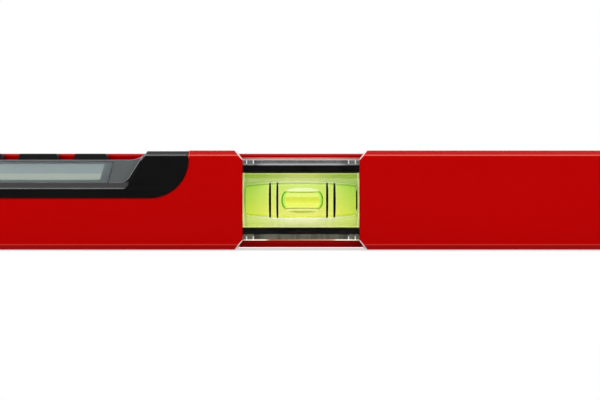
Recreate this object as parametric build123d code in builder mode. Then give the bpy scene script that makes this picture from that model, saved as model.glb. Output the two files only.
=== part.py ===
from build123d import *
import os
from math import atan2, cos, degrees, hypot, sin, tan, radians

# Digital spirit level: a coated box-section body with a centre vial, a plumb vial and a
# battery-powered display module let into its top edge.
# Millimetres. X runs along the level, the display faces -Y, Z is up, and the origin is the
# middle of the measuring face that the level stands on.

# Body
LENGTH = 600.0
HEIGHT = 52.0
DEPTH = 24.0
WALL = 2.0
EDGE_CHAMFER = 2.73
EDGE_ROUND = 0.7
INNER_ROUND = 1.2
CUT_BREAK = 0.5
MODULE_BREAK = 0.35
BOND = 0.1
SEAM = 0.2
RUN_GAP = 0.3
GLUE = 0.02
OVERSIZE = 3

# Ends
FLANGE = 1.5
BUMPER = 3.5
PLUG_DEPTH = 16.0
PLUG_WALL = 2.4
PLUG_ROUND = 1.0
PLUG_RIBS = (16.0, 36.0)
PEG_PLACES = (12.0, 40.0)
PEG_RADIUS = 3.0
BUMPER_ROUND = 1.6

# Centre window and vial
WINDOW_HALF = 30.4
WINDOW_LOW = 4.8
REAR_WINDOW_HALF = 32.2
FLARE_RUN = 3.9
FLARE_ROUND = 1.5
VIAL_Z = HEIGHT / 2
VIAL_SHIFT = 0.7
COVER_SUNK = 0.6
COVER_THICK = 1.6
COVER_BEVEL = (3.0, 1.3)
SADDLE_HALF = 35.0
SADDLE_ROUND = 1.0
SADDLE_RIBS = (-28.4, -24.9, 24.9, 28.4)
SADDLE_RIB_WIDE = 0.6
SADDLE_RIB_TALL = 2.8
SADDLE_RIB_PROUD = 0.5
VIAL_HALF = 31.2
LENS_VERTEX = 9.6
LENS_EDGE = 5.6
LENS_HALF_HEIGHT = 14.5
BORE_MIDDLE = 8.5
BORE_END = 7.3
BORE_HALF = 29.8
BORE_ROUND_SHARE = 0.33
VIAL_PLUG_SHARE = 0.62
VIAL_PLUG_LONG = 1.5
VIAL_PLUG_PROUD = 0.9
RING_PLACES = (-17.15, -13.25, 13.25, 17.15)
RING_WIDE = 0.8
RING_THICK = 0.3
BUBBLE_RADIUS = 5.9
BUBBLE_HALF = 11.15
BUBBLE_FORWARD = 1.2
BUBBLE_TRAVEL = 16.0

# Plumb window and vial
PLUMB_X = 240.0
PLUMB_WIDE = 24.0
PLUMB_TALL = 41.0
PLUMB_CORNER = 4.0
PLUMB_RIM = 2.2
PLUMB_COVER_SUNK = 0.7
PLUMB_COVER_THICK = 1.6
SLEEVE_SUNK = 0.3
PLUMB_VERTEX = 7.2
PLUMB_EDGE = 4.4
PLUMB_HALF_WIDE = 9.4
PLUMB_HALF_LONG = 17.6
PLUMB_BORE_MIDDLE = 5.9
PLUMB_BORE_END = 5.2
PLUMB_BORE_HALF = 16.4
PLUMB_RINGS = (-7.4, 7.4)
PLUMB_BUBBLE_RADIUS = 3.9
PLUMB_BUBBLE_HALF = 6.0
PLUMB_BUBBLE_FORWARD = 1.0
PLUMB_TRAVEL = 9.0

# Display module
MODULE_X = -143.1
MODULE_HALF = 84.4
MODULE_LOW = 27.2
MODULE_CORNER = 19.8
HOUSING_TOP = 51.56
HOUSING_LOW = 29.1
CAVITY_HALF = 74.0
CAVITY_FOOT = 2.0
CAVITY_REAR_WALL = 1.1
SLOPE_START = (-12.0, 32.05)
RIDGE = (1.0, 48.0)
RECESS = (53.1, 0.28)
RECESS_CORNER = 3.6
RECESS_TALL = 46.0
RECESS_DRAFT = 24.4
RECESS_DEEP = 26.0
SHELF_Z = 47.5
SHELF_HALF = 56.5
SHELF_LEAN = 0.707
SWEEP_START = 48.0
SWEEP_RISE = 2.16
SHELF_THICK = 1.8
FLOOR_THICK = 1.6
BEZEL_THICK = 1.2
BEZEL = (50.5, 0.285)
BEZEL_LOW = 3.8
BEZEL_HIGH = 20.0
BEZEL_RISE = 2.6
BEZEL_CORNER = 5.0
PANE = (84.0, 15.2)
PANE_MID = 11.7
PANE_THICK = 1.0
PANE_CORNER = 1.0
LCD_VIEW = (74.5, 11.7)
LCD_MID = 12.3
LCD_GLASS = (78.4, 12.3)
LCD_THICK = 1.6
BACKLIGHT_THICK = 1.2
GLASS_CORNER = 0.4
DRIVER_BOARD = (86.0, 11.6)
DRIVER_CORNER = 0.8
BOARD_THICK = 0.8

# Electronics and fixings inside the module
MAIN_TOP = 31.0
MAIN_THICK = 1.4
MAIN_HALF = 62.0
MAIN_Y = (-7.4, 7.2)
SOLDER = 0.05
POST_PLACES = (-56.0, 56.0)
POST_Y = (-4.0, 4.0)
POST_RADIUS = 2.2
POST_HOLE = 1.1
CONNECTOR_HALF = 20.0
CONNECTOR_Y = (-3.6, -1.8)
CONNECTOR_TOP = 33.9
CHIP_PLACE = -4.0
CHIP_HALF = 3.6
CHIP_Y = (-0.6, 6.6)
CHIP_TALL = 1.3
SENSOR_PLACE = 34.0
SENSOR_HALF = 6.0
SENSOR_Y = (-0.4, 6.6)
SENSOR_TALL = 4.2
SENSOR_ROUND = 0.8
BUZZER_PLACE = -36.0
BUZZER_Y = 2.4
BUZZER_RADIUS = 4.6
BUZZER_TALL = 4.0
BUZZER_HOLE = (0.9, 1.0)
BASE_Z = (27.35, 28.6)
BASE_END_GAP = 1.0
BASE_HOLE = 1.4
GASKET_WIDE = 1.2
GASKET_SIDE = 1.0
SCREW_HEAD = (2.3, 1.6)
SCREW_SHANK = (1.2, 10.0)
SCREW_PILOT = (1.25, 9.0)
SCREW_CROSS = (2.6, 0.6, 0.8)
CASE_HOLE = (1.7, 3.1, 90.0)
CASE_HEAD = (2.85, 1.4)
CASE_HEAD_SUNK = 0.15
CASE_SHANK = (1.5, 8.0)
CASE_PILOT = 1.55
CASE_CROSS = (3.0, 0.7, 0.9)

# Keys: name, place along the module, width at the foot, width at the top
KEYS = (("left", -28.4, 18.4, 16.6), ("middle", 0.0, 21.8, 20.0), ("right", 28.4, 18.4, 16.6))
KEY_TOP = 51.5
KEY_Y = 5.0
KEY_DEEP = 4.8
KEY_TOP_DEEP = 3.6
KEY_SHOULDER = 48.2
KEY_ROUND = 0.8
KEY_HOLE_DEEP = 4.32
KEY_FLANGE = (1.2, 4.2, 5.3)
KEY_FLANGE_Z = (44.4, 45.5)
PLUNGER_Y = 5.6
PLUNGER_RADIUS = 1.0
PLUNGER_LONG = 1.5
SWITCH_FIT = 0.06
SWITCH = (6.0, 3.4)
SWITCH_Z = (41.8, 43.4)
KEY_BOARD_Z = 40.8
KEY_BOARD_HALF = 40.0
KEY_BOARD_Y = (4.0, 7.6)
RIB_PLACES = (-33.0, 33.0)
RIB_HALF = 1.5
RIB_FRONT = 3.6
RIB_REAR_GAP = 0.5
RIB_LOW = 38.6

# Battery bay and door
TRAY_HALF = 60.0
TRAY_Z = (6.0, 27.25)
TRAY_REAR = 9.3
POCKET_HALF = 54.5
POCKET_Z = (8.8, 23.2)
POCKET_FRONT = -5.2
CELL_RADIUS = 7.05
CELL_LONG = 49.0
CELL_NUB = (2.7, 1.2)
CELL_ROUND = 0.6
CELL_Y = 2.2
CELL_Z = 16.0
CONTACT_THICK = 0.4
CONTACT_Z = (10.2, 21.8)
CONTACT_HALF_DEEP = 4.0
CONTACT_TIP = 1.5
CONTACT_ROOT = 2.0
DOOR_HALF = 57.0
DOOR_Z = (6.4, 26.2)
DOOR_THICK = 2.0
HINGE_Y = 11.0
HINGE_Z = 7.6
HINGE_EAR = 1.2
EAR_ROOT = 1.0
EAR_REACH = 0.9
EAR_RISE = 1.6
PIN_RADIUS = 0.6
PIN_FIT = 0.05
PIN_LONG = 4.2
SCOOP = (24.0, 5.0, 0.9)
SCOOP_DOWN = 5.5
SEAL_WIDE = 0.8
SEAL_TALL = (0.4, 2.0)

# Derived places
FRONT_Y = -DEPTH / 2
REAR_Y = DEPTH / 2
INNER_Y = REAR_Y - WALL
LIP_Y = REAR_Y - EDGE_CHAMFER
PROFILE_LENGTH = LENGTH - 2 * (FLANGE + BUMPER)
WINDOW_HIGH = HEIGHT - WINDOW_LOW
HOUSING_REAR = LIP_Y - SEAM
HOUSING_FRONT = FRONT_Y + WALL + BOND
HOUSING_HALF = MODULE_HALF - SEAM
SLOPE_ANGLE = degrees(atan2(RIDGE[1] - SLOPE_START[1], RIDGE[0] - SLOPE_START[0]))
SCREW_X = (MODULE_X - 79.0, MODULE_X + 79.0)
SCREW_Y = (-5.0, 5.0)
CASE_SCREW_Z = 40.0

os.makedirs("parts", exist_ok=True)


def save(piece, name):
    """Label a finished piece and write it under its node's name."""
    piece.part.label = name
    export_step(piece.part, f"parts/{name}.step")


def at_depth(y):
    """Sketch plane across the level at depth y, as seen from the front."""
    return Plane.XZ.offset(-y)


def at_rear(y):
    """Sketch plane across the level at depth y that faces backwards."""
    return Plane(origin=(0, y, 0), x_dir=(-1, 0, 0), z_dir=(0, 1, 0))


def body_outline(inset):
    """Corner points of the body's section, drawn in from its faces."""
    half = DEPTH / 2 - inset
    top = HEIGHT - inset
    cut = EDGE_CHAMFER
    lower = [(-half + cut, inset), (half - cut, inset), (half, inset + cut)]
    upper = [(half, top - cut), (half - cut, top), (-half + cut, top)]
    return lower + upper + [(-half, top - cut), (-half, inset + cut)]


def module_outline(gap):
    """Tub-shaped outline of the module's cut-out, open past the top edge."""
    tall = 2 * HEIGHT
    with Locations((MODULE_X, MODULE_LOW + gap + tall / 2)):
        RectangleRounded(2 * (MODULE_HALF - gap), tall, MODULE_CORNER - gap)


def rounded_section():
    """Section of the body with its long edges rounded."""
    with BuildLine() as outline:
        Polyline(*body_outline(0), close=True)
    section = make_face(outline.edges())
    fillet(section.vertices(), EDGE_ROUND)


def on_front(place):
    """True for a point of the front face or of a chamfer beside it."""
    drop = min(place.Z, HEIGHT - place.Z)
    on_chamfer = abs(place.Y - FRONT_Y + drop - EDGE_CHAMFER) < BOND and drop > BOND
    return abs(place.Y - FRONT_Y) < BOND or on_chamfer


def on_window_rim(edge):
    """True for an edge of the centre window on the outside of the front wall."""
    middle = edge.center()
    return abs(middle.X) < WINDOW_HALF + FLARE_RUN + FLARE_ROUND and on_front(middle)


def on_module_rim(edge):
    """True for an edge of the module's cut-out on the outside of the front wall."""
    middle = edge.center()
    near = abs(middle.X - MODULE_X) < MODULE_HALF + BOND and middle.Z > MODULE_LOW - BOND
    return near and on_front(middle)


def on_flare_corner(edge):
    """True for an edge where the flared window runs out through the top or bottom face."""
    middle = edge.center()
    at_flare = abs(abs(middle.X) - WINDOW_HALF - FLARE_RUN) < BOND
    return at_flare and min(middle.Z, HEIGHT - middle.Z) < BOND


def block(x_range, y_range, z_range, mode=Mode.ADD):
    """Plain rectangular block between the given limits."""
    with BuildSketch(Plane.XY.offset(z_range[0])) as foot_print:
        with Locations((sum(x_range) / 2, sum(y_range) / 2)):
            Rectangle(x_range[1] - x_range[0], y_range[1] - y_range[0])
    extrude(foot_print.sketch, amount=z_range[1] - z_range[0], mode=mode)


def about(middle, half):
    """Range of the given half width about a middle."""
    return (middle - half, middle + half)


# Body profile: extruded box section, milled for the module, the vials and the battery door
with BuildPart() as profile_body:
    with BuildSketch(Plane.YZ.offset(-PROFILE_LENGTH / 2)):
        with BuildLine():
            Polyline(*body_outline(0), close=True)
        make_face()
        with Locations((0, HEIGHT / 2)):
            RectangleRounded(
                DEPTH - 2 * WALL, HEIGHT - 2 * WALL, INNER_ROUND, mode=Mode.SUBTRACT
            )
    extrude(amount=PROFILE_LENGTH)
    # Centre window, flared where it runs out through the top and bottom edges
    with BuildSketch(at_depth(FRONT_Y)):
        with BuildLine():
            spread = WINDOW_HALF + 2 * FLARE_RUN
            right = [(spread, -WINDOW_LOW), (WINDOW_HALF, WINDOW_LOW), (WINDOW_HALF, WINDOW_HIGH)]
            right.append((spread, HEIGHT + WINDOW_LOW))
            Polyline(*right, *[(-x, z) for x, z in reversed(right)], close=True)
        make_face()
    extrude(amount=-(LIP_Y - FRONT_Y), mode=Mode.SUBTRACT)
    fillet(profile_body.edges().filter_by(on_flare_corner), FLARE_ROUND)
    chamfer(profile_body.edges().filter_by(on_window_rim), CUT_BREAK)
    with BuildSketch(at_depth(LIP_Y)):
        with Locations((0, HEIGHT / 2)):
            Rectangle(2 * REAR_WINDOW_HALF, WINDOW_HIGH - WINDOW_LOW)
    extrude(amount=-(REAR_Y - LIP_Y), mode=Mode.SUBTRACT)
    # Module cut-out through the front and top walls, as far back as the rear lip
    with BuildSketch(at_depth(FRONT_Y)):
        module_outline(0)
    extrude(amount=-(LIP_Y - FRONT_Y), mode=Mode.SUBTRACT)
    chamfer(profile_body.edges().filter_by(on_module_rim), MODULE_BREAK)
    # Plumb window through both walls
    with BuildSketch(at_depth(FRONT_Y)):
        with Locations((PLUMB_X, HEIGHT / 2)):
            RectangleRounded(PLUMB_WIDE, PLUMB_TALL, PLUMB_CORNER)
    extrude(amount=-DEPTH, mode=Mode.SUBTRACT)
    # Battery opening and case screw holes in the rear wall
    with BuildSketch(at_depth(LIP_Y)):
        with Locations((MODULE_X, sum(DOOR_Z) / 2)):
            Rectangle(2 * DOOR_HALF, DOOR_Z[1] - DOOR_Z[0])
    extrude(amount=-(REAR_Y - LIP_Y), mode=Mode.SUBTRACT)
    with Locations(at_rear(REAR_Y)):
        with Locations(*[(-x, CASE_SCREW_Z) for x in SCREW_X]):
            CounterSinkHole(CASE_HOLE[0], CASE_HOLE[1], depth=2 * WALL, counter_sink_angle=CASE_HOLE[2])
    # Long edges, rounded
    with BuildSketch(Plane.YZ.offset(-PROFILE_LENGTH / 2)):
        rounded_section()
    extrude(amount=PROFILE_LENGTH, mode=Mode.INTERSECT)
save(profile_body, "profile_body")


# End closures: a hard plug pressed into the profile and a rubber bumper over its flange
for side, name in ((-1, "left"), (1, "right")):
    end_plane = Plane(
        origin=(side * PROFILE_LENGTH / 2, 0, 0), x_dir=(0, side, 0), z_dir=(side, 0, 0)
    )
    with BuildPart() as end_plug:
        with BuildSketch(end_plane):
            with BuildLine():
                Polyline(*body_outline(BOND), close=True)
            make_face()
        extrude(amount=FLANGE)
        with BuildSketch(end_plane):
            with Locations((0, HEIGHT / 2)):
                RectangleRounded(DEPTH - 2 * WALL - BOND, HEIGHT - 2 * WALL - BOND, INNER_ROUND)
                RectangleRounded(
                    DEPTH - 2 * (WALL + PLUG_WALL),
                    HEIGHT - 2 * (WALL + PLUG_WALL),
                    PLUG_ROUND,
                    mode=Mode.SUBTRACT,
                )
        extrude(amount=-PLUG_DEPTH)
        with BuildSketch(end_plane.offset(-PLUG_DEPTH)):
            with Locations(*[(0, z) for z in PLUG_RIBS]):
                Rectangle(DEPTH - 2 * (WALL + PLUG_WALL), PLUG_WALL)
        extrude(amount=PLUG_DEPTH)
        with BuildSketch(end_plane.offset(FLANGE)):
            with Locations(*[(0, z) for z in PEG_PLACES]):
                Circle(PEG_RADIUS)
        extrude(amount=-FLANGE, mode=Mode.SUBTRACT)
    save(end_plug, f"end_plug_{name}")

    with BuildPart() as end_bumper:
        with BuildSketch(end_plane.offset(FLANGE)):
            with BuildLine():
                Polyline(*body_outline(BOND), close=True)
            make_face()
        extrude(amount=BUMPER)
        outer_face = end_bumper.faces().sort_by(Axis.X)[-1 if side > 0 else 0]
        fillet(outer_face.edges(), BUMPER_ROUND)
        with BuildSketch(end_plane.offset(FLANGE)):
            with Locations(*[(0, z) for z in PEG_PLACES]):
                Circle(PEG_RADIUS - BOND)
        extrude(amount=-FLANGE)
    save(end_bumper, f"end_bumper_{name}")


def lens_section(vertex, edge, half_height):
    """Section of a vial block with a lens-shaped front and back."""
    with BuildLine() as outline:
        ThreePointArc((-edge, -half_height), (-vertex, 0), (-edge, half_height))
        Line((-edge, half_height), (edge, half_height))
        ThreePointArc((edge, half_height), (vertex, 0), (edge, -half_height))
        Line((edge, -half_height), (-edge, -half_height))
    make_face(outline.edges())


def barrel(along, half, middle, end):
    """Barrel-shaped round body about the vial's axis, with its ends rounded."""
    with BuildSketch(along) as half_section:
        with BuildLine():
            Line((-half, 0), (-half, end))
            ThreePointArc((-half, end), (0, middle), (half, end))
            Line((half, end), (half, 0))
            Line((half, 0), (-half, 0))
        make_face()
        fillet(half_section.vertices().sort_by(Axis.Y)[-2:], BORE_ROUND_SHARE * end)
    revolve(half_section.sketch, axis=Axis(along.origin, along.x_dir))


def capsule(along, forward, half, radius, **options):
    """Round-ended bubble body beside the vial's axis, towards the front."""
    flat = half - radius
    with BuildSketch(along) as half_section:
        with BuildLine():
            CenterArc((-flat, -forward), radius, 90, 90)
            Line((-flat, radius - forward), (flat, radius - forward))
            CenterArc((flat, -forward), radius, 0, 90)
            Line((flat + radius, -forward), (-flat - radius, -forward))
        make_face()
    bubble_axis = Axis(along.from_local_coords(Vector(0, -forward, 0)), along.x_dir)
    revolve(half_section.sketch, axis=bubble_axis, **options)


def ring_band(across, radius, thick, wide, mode=Mode.ADD):
    """Flat band round the bore, centred on the given cross plane."""
    with BuildSketch(across) as band:
        Circle(radius)
        Circle(radius - thick, mode=Mode.SUBTRACT)
    extrude(band.sketch, amount=wide / 2, both=True, mode=mode)


def make_vial(name, across, lens, half_long, bore, rings, bubble, travel, shift=0.0):
    """Vial of an acrylic lens block, spirit, marker rings, end plug and bubble."""
    along = Plane(origin=across.origin, x_dir=across.z_dir, z_dir=across.y_dir)
    marks = across.offset(shift)
    bubble_along = Plane(origin=marks.origin, x_dir=across.z_dir, z_dir=across.y_dir)
    bore_half, bore_middle, bore_end = bore
    bubble_half, bubble_radius, forward = bubble
    plug_radius = VIAL_PLUG_SHARE * bore_end

    def bore_radius(place):
        return bore_middle - (bore_middle - bore_end) * ((place + shift) / bore_half) ** 2

    with BuildPart() as vial_bore:
        barrel(along, bore_half, bore_middle, bore_end)

    with BuildPart() as vial_block:
        with BuildSketch(across.offset(-half_long)):
            lens_section(*lens)
        extrude(amount=2 * half_long)
        add(vial_bore.part, mode=Mode.SUBTRACT)
        with BuildSketch(across.offset(bore_half - BOND)):
            Circle(plug_radius)
        extrude(amount=half_long - bore_half + BOND, mode=Mode.SUBTRACT)
        for place in rings:
            ring_band(
                marks.offset(place), bore_radius(place) + RING_THICK, 2 * RING_THICK,
                RING_WIDE + 2 * BOND, mode=Mode.SUBTRACT,
            )
    save(vial_block, f"{name}_block")

    with BuildPart() as vial_rings:
        for place in rings:
            ring_band(
                marks.offset(place), bore_radius(place) + RING_THICK - BOND / 2,
                RING_THICK - BOND, RING_WIDE,
            )
    save(vial_rings, f"{name}_rings")

    with BuildPart() as vial_plug:
        with BuildSketch(across.offset(bore_half - VIAL_PLUG_PROUD)):
            Circle(plug_radius - BOND / 2)
        extrude(amount=VIAL_PLUG_LONG)
    save(vial_plug, f"{name}_plug")

    with BuildPart() as vial_bubble:
        capsule(bubble_along, forward, bubble_half, bubble_radius)
    save(vial_bubble, f"{name}_bubble")

    with BuildPart() as vial_spirit:
        barrel(along, bore_half - BOND / 2, bore_middle - BOND / 2, bore_end - BOND / 2)
        capsule(
            bubble_along, forward, bubble_half + travel + BOND, bubble_radius + 2 * BOND,
            mode=Mode.SUBTRACT,
        )
        with BuildSketch(across.offset(bore_half - VIAL_PLUG_PROUD - BOND / 2)):
            Circle(plug_radius)
        extrude(amount=VIAL_PLUG_LONG, mode=Mode.SUBTRACT)
    save(vial_spirit, f"{name}_spirit")


# Centre vial: read from the front, the back and through the notches in both edges
make_vial(
    "center_vial",
    Plane(origin=(0, 0, VIAL_Z), x_dir=(0, 1, 0), z_dir=(1, 0, 0)),
    (LENS_VERTEX, LENS_EDGE, LENS_HALF_HEIGHT),
    VIAL_HALF,
    (BORE_HALF, BORE_MIDDLE, BORE_END),
    RING_PLACES,
    (BUBBLE_HALF, BUBBLE_RADIUS, BUBBLE_FORWARD),
    BUBBLE_TRAVEL,
    VIAL_SHIFT,
)

# Plumb vial: stands upright in the window near the right end
make_vial(
    "plumb_vial",
    Plane(origin=(PLUMB_X, 0, HEIGHT / 2), x_dir=(0, 1, 0), z_dir=(0, 0, 1)),
    (PLUMB_VERTEX, PLUMB_EDGE, PLUMB_HALF_WIDE),
    PLUMB_HALF_LONG,
    (PLUMB_BORE_HALF, PLUMB_BORE_MIDDLE, PLUMB_BORE_END),
    PLUMB_RINGS,
    (PLUMB_BUBBLE_HALF, PLUMB_BUBBLE_RADIUS, PLUMB_BUBBLE_FORWARD),
    PLUMB_TRAVEL,
)

# Saddles: black bars that carry the centre vial above and below, longer than the window. Slim
# ribs on their faces back up the bevelled margins of the covers
SADDLE_DEEP = LENS_VERTEX + BOND
rib_edges = [place + side * SADDLE_RIB_WIDE / 2 for place in SADDLE_RIBS for side in (-1, 1)]
gap_edges = [-WINDOW_HALF, *rib_edges, WINDOW_HALF]
rib_gaps = list(zip(gap_edges[::2], gap_edges[1::2]))
for name, far, sign in (("top", WINDOW_HIGH - BOND, 1), ("bottom", WINDOW_LOW + BOND, -1)):
    near = VIAL_Z + sign * (LENS_HALF_HEIGHT + BOND)
    with BuildPart() as saddle:
        block((-SADDLE_HALF, SADDLE_HALF), (-SADDLE_DEEP, SADDLE_DEEP), sorted((near, far)))
        fillet(saddle.edges().filter_by(Axis.Z), SADDLE_ROUND)
        rib_z = sorted((far - sign * SADDLE_RIB_TALL, far))
        rib_root = SADDLE_DEEP - SADDLE_RIB_PROUD
        for y_range in ((-SADDLE_DEEP, -rib_root), (rib_root, SADDLE_DEEP)):
            for x_range in rib_gaps:
                block(x_range, y_range, rib_z, mode=Mode.SUBTRACT)
    save(saddle, f"center_saddle_{name}")

# Clear covers over the centre vial, bevelled along their top and bottom margins
COVER_OUT = REAR_Y - COVER_SUNK
COVER_IN = COVER_OUT - COVER_THICK
COVER_LOW = WINDOW_LOW + BOND
COVER_HIGH = WINDOW_HIGH - BOND
for name, sign, half in (("front", -1, WINDOW_HALF), ("rear", 1, REAR_WINDOW_HALF)):
    with BuildPart() as cover:
        with BuildSketch(Plane.YZ.offset(RUN_GAP - half)):
            with BuildLine():
                bevel_z, bevel_y = COVER_BEVEL
                outer, step, inner = sign * COVER_OUT, sign * (COVER_OUT - bevel_y), sign * COVER_IN
                Polyline(
                    (inner, COVER_LOW), (step, COVER_LOW), (outer, COVER_LOW + bevel_z),
                    (outer, COVER_HIGH - bevel_z), (step, COVER_HIGH), (inner, COVER_HIGH),
                    close=True,
                )
            make_face()
        extrude(amount=2 * (half - RUN_GAP))
    save(cover, f"center_cover_{name}")

# Plumb vial frame: a black sleeve through both walls, with a recess for each clear cover
PLUMB_COVER_OUT = REAR_Y - PLUMB_COVER_SUNK
PLUMB_COVER_IN = PLUMB_COVER_OUT - PLUMB_COVER_THICK
PLUMB_CENTRE = (PLUMB_X, HEIGHT / 2)
SLEEVE_OUT = REAR_Y - SLEEVE_SUNK
with BuildPart() as plumb_frame:
    with BuildSketch(at_depth(-SLEEVE_OUT)):
        with Locations(PLUMB_CENTRE):
            RectangleRounded(PLUMB_WIDE - 2 * BOND, PLUMB_TALL - 2 * BOND, PLUMB_CORNER - BOND)
    extrude(amount=-2 * SLEEVE_OUT)
    with BuildSketch(at_depth(-SLEEVE_OUT)):
        with Locations(PLUMB_CENTRE):
            Rectangle(2 * (PLUMB_HALF_WIDE + BOND), 2 * (PLUMB_HALF_LONG + BOND))
    extrude(amount=-2 * SLEEVE_OUT, mode=Mode.SUBTRACT)
    for start in (-SLEEVE_OUT, PLUMB_COVER_IN):
        with BuildSketch(at_depth(start)):
            with Locations(PLUMB_CENTRE):
                RectangleRounded(
                    PLUMB_WIDE - 2 * PLUMB_RIM, PLUMB_TALL - 2 * PLUMB_RIM, PLUMB_CORNER - PLUMB_RIM
                )
        extrude(amount=-(SLEEVE_OUT - PLUMB_COVER_IN), mode=Mode.SUBTRACT)
save(plumb_frame, "plumb_frame")

for name, start in (("front", -PLUMB_COVER_OUT), ("rear", PLUMB_COVER_IN + BOND)):
    with BuildPart() as plumb_cover:
        with BuildSketch(at_depth(start)):
            with Locations(PLUMB_CENTRE):
                RectangleRounded(
                    PLUMB_WIDE - 2 * (PLUMB_RIM + BOND),
                    PLUMB_TALL - 2 * (PLUMB_RIM + BOND),
                    PLUMB_CORNER - PLUMB_RIM - BOND,
                )
        extrude(amount=-(PLUMB_COVER_THICK - BOND))
    save(plumb_cover, f"plumb_cover_{name}")


# Plane of the sloped display: local X along the level, local Y up the slope
SLOPE = Plane(
    origin=(MODULE_X, *SLOPE_START),
    x_dir=(1, 0, 0),
    z_dir=(0, -sin(radians(SLOPE_ANGLE)), cos(radians(SLOPE_ANGLE))),
)


def recess_outline(low, high, widths, corner):
    """Outline on the slope whose width changes with height, rounded at its two lower corners."""
    half, spread = widths
    low_half = half + spread * low
    high_half = half + spread * high
    with BuildLine() as outline:
        Polyline(
            (-low_half, low), (low_half, low), (high_half, high), (-high_half, high), close=True
        )
    panel = make_face(outline.edges())
    fillet(panel.vertices().sort_by(Axis.Y)[:2], corner)


def sweep_middle(start, tip):
    """Point half way along the arc that leaves its start level and rises to its tip."""
    run, rise = tip[0] - start[0], tip[1] - start[1]
    radius = (run ** 2 + rise ** 2) / (2 * rise)
    turn = atan2(run, radius - rise) / 2
    return (start[0] + radius * sin(turn), start[1] + radius * (1 - cos(turn)))


def bezel_outline(grow):
    """Outline of the grey panel on the slope, whose top edge sweeps up at both ends."""
    half, spread = BEZEL
    low, high = BEZEL_LOW - grow, BEZEL_HIGH + grow
    low_half = half + spread * low + grow
    start = (SWEEP_START, high)
    tip = (half + spread * (high + BEZEL_RISE) + grow, high + BEZEL_RISE)
    middle = sweep_middle(start, tip)
    with BuildLine() as outline:
        Polyline(tip, (low_half, low), (-low_half, low), (-tip[0], tip[1]))
        ThreePointArc((-tip[0], tip[1]), (-middle[0], middle[1]), (-start[0], high))
        Line((-start[0], high), start)
        ThreePointArc(start, middle, tip)
    panel = make_face(outline.edges())
    fillet(panel.vertices().sort_by(Axis.Y)[:2], BEZEL_CORNER)


def shelf_outline():
    """Outline, from the front, of the space above the key shelf."""
    start = (SWEEP_START, SHELF_Z)
    tip = (SHELF_HALF, SHELF_Z + SWEEP_RISE)
    middle = sweep_middle(start, tip)
    above = (SHELF_HALF + SHELF_LEAN * HEIGHT, tip[1] + HEIGHT)
    with BuildLine() as outline:
        Polyline(tip, above, (-above[0], above[1]), (-tip[0], tip[1]))
        ThreePointArc((-tip[0], tip[1]), (-middle[0], middle[1]), (-start[0], SHELF_Z))
        Line((-start[0], SHELF_Z), start)
        ThreePointArc(start, middle, tip)
    make_face(outline.edges())


def on_slope(name, size, middle, corner, top, thick):
    """Thin rounded plate of the display stack, under the slope by the given depth."""
    with BuildPart() as plate:
        with BuildSketch(SLOPE.offset(-top)):
            with Locations((0, middle)):
                RectangleRounded(*size, corner)
        extrude(amount=-thick)
    save(plate, name)


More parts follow.
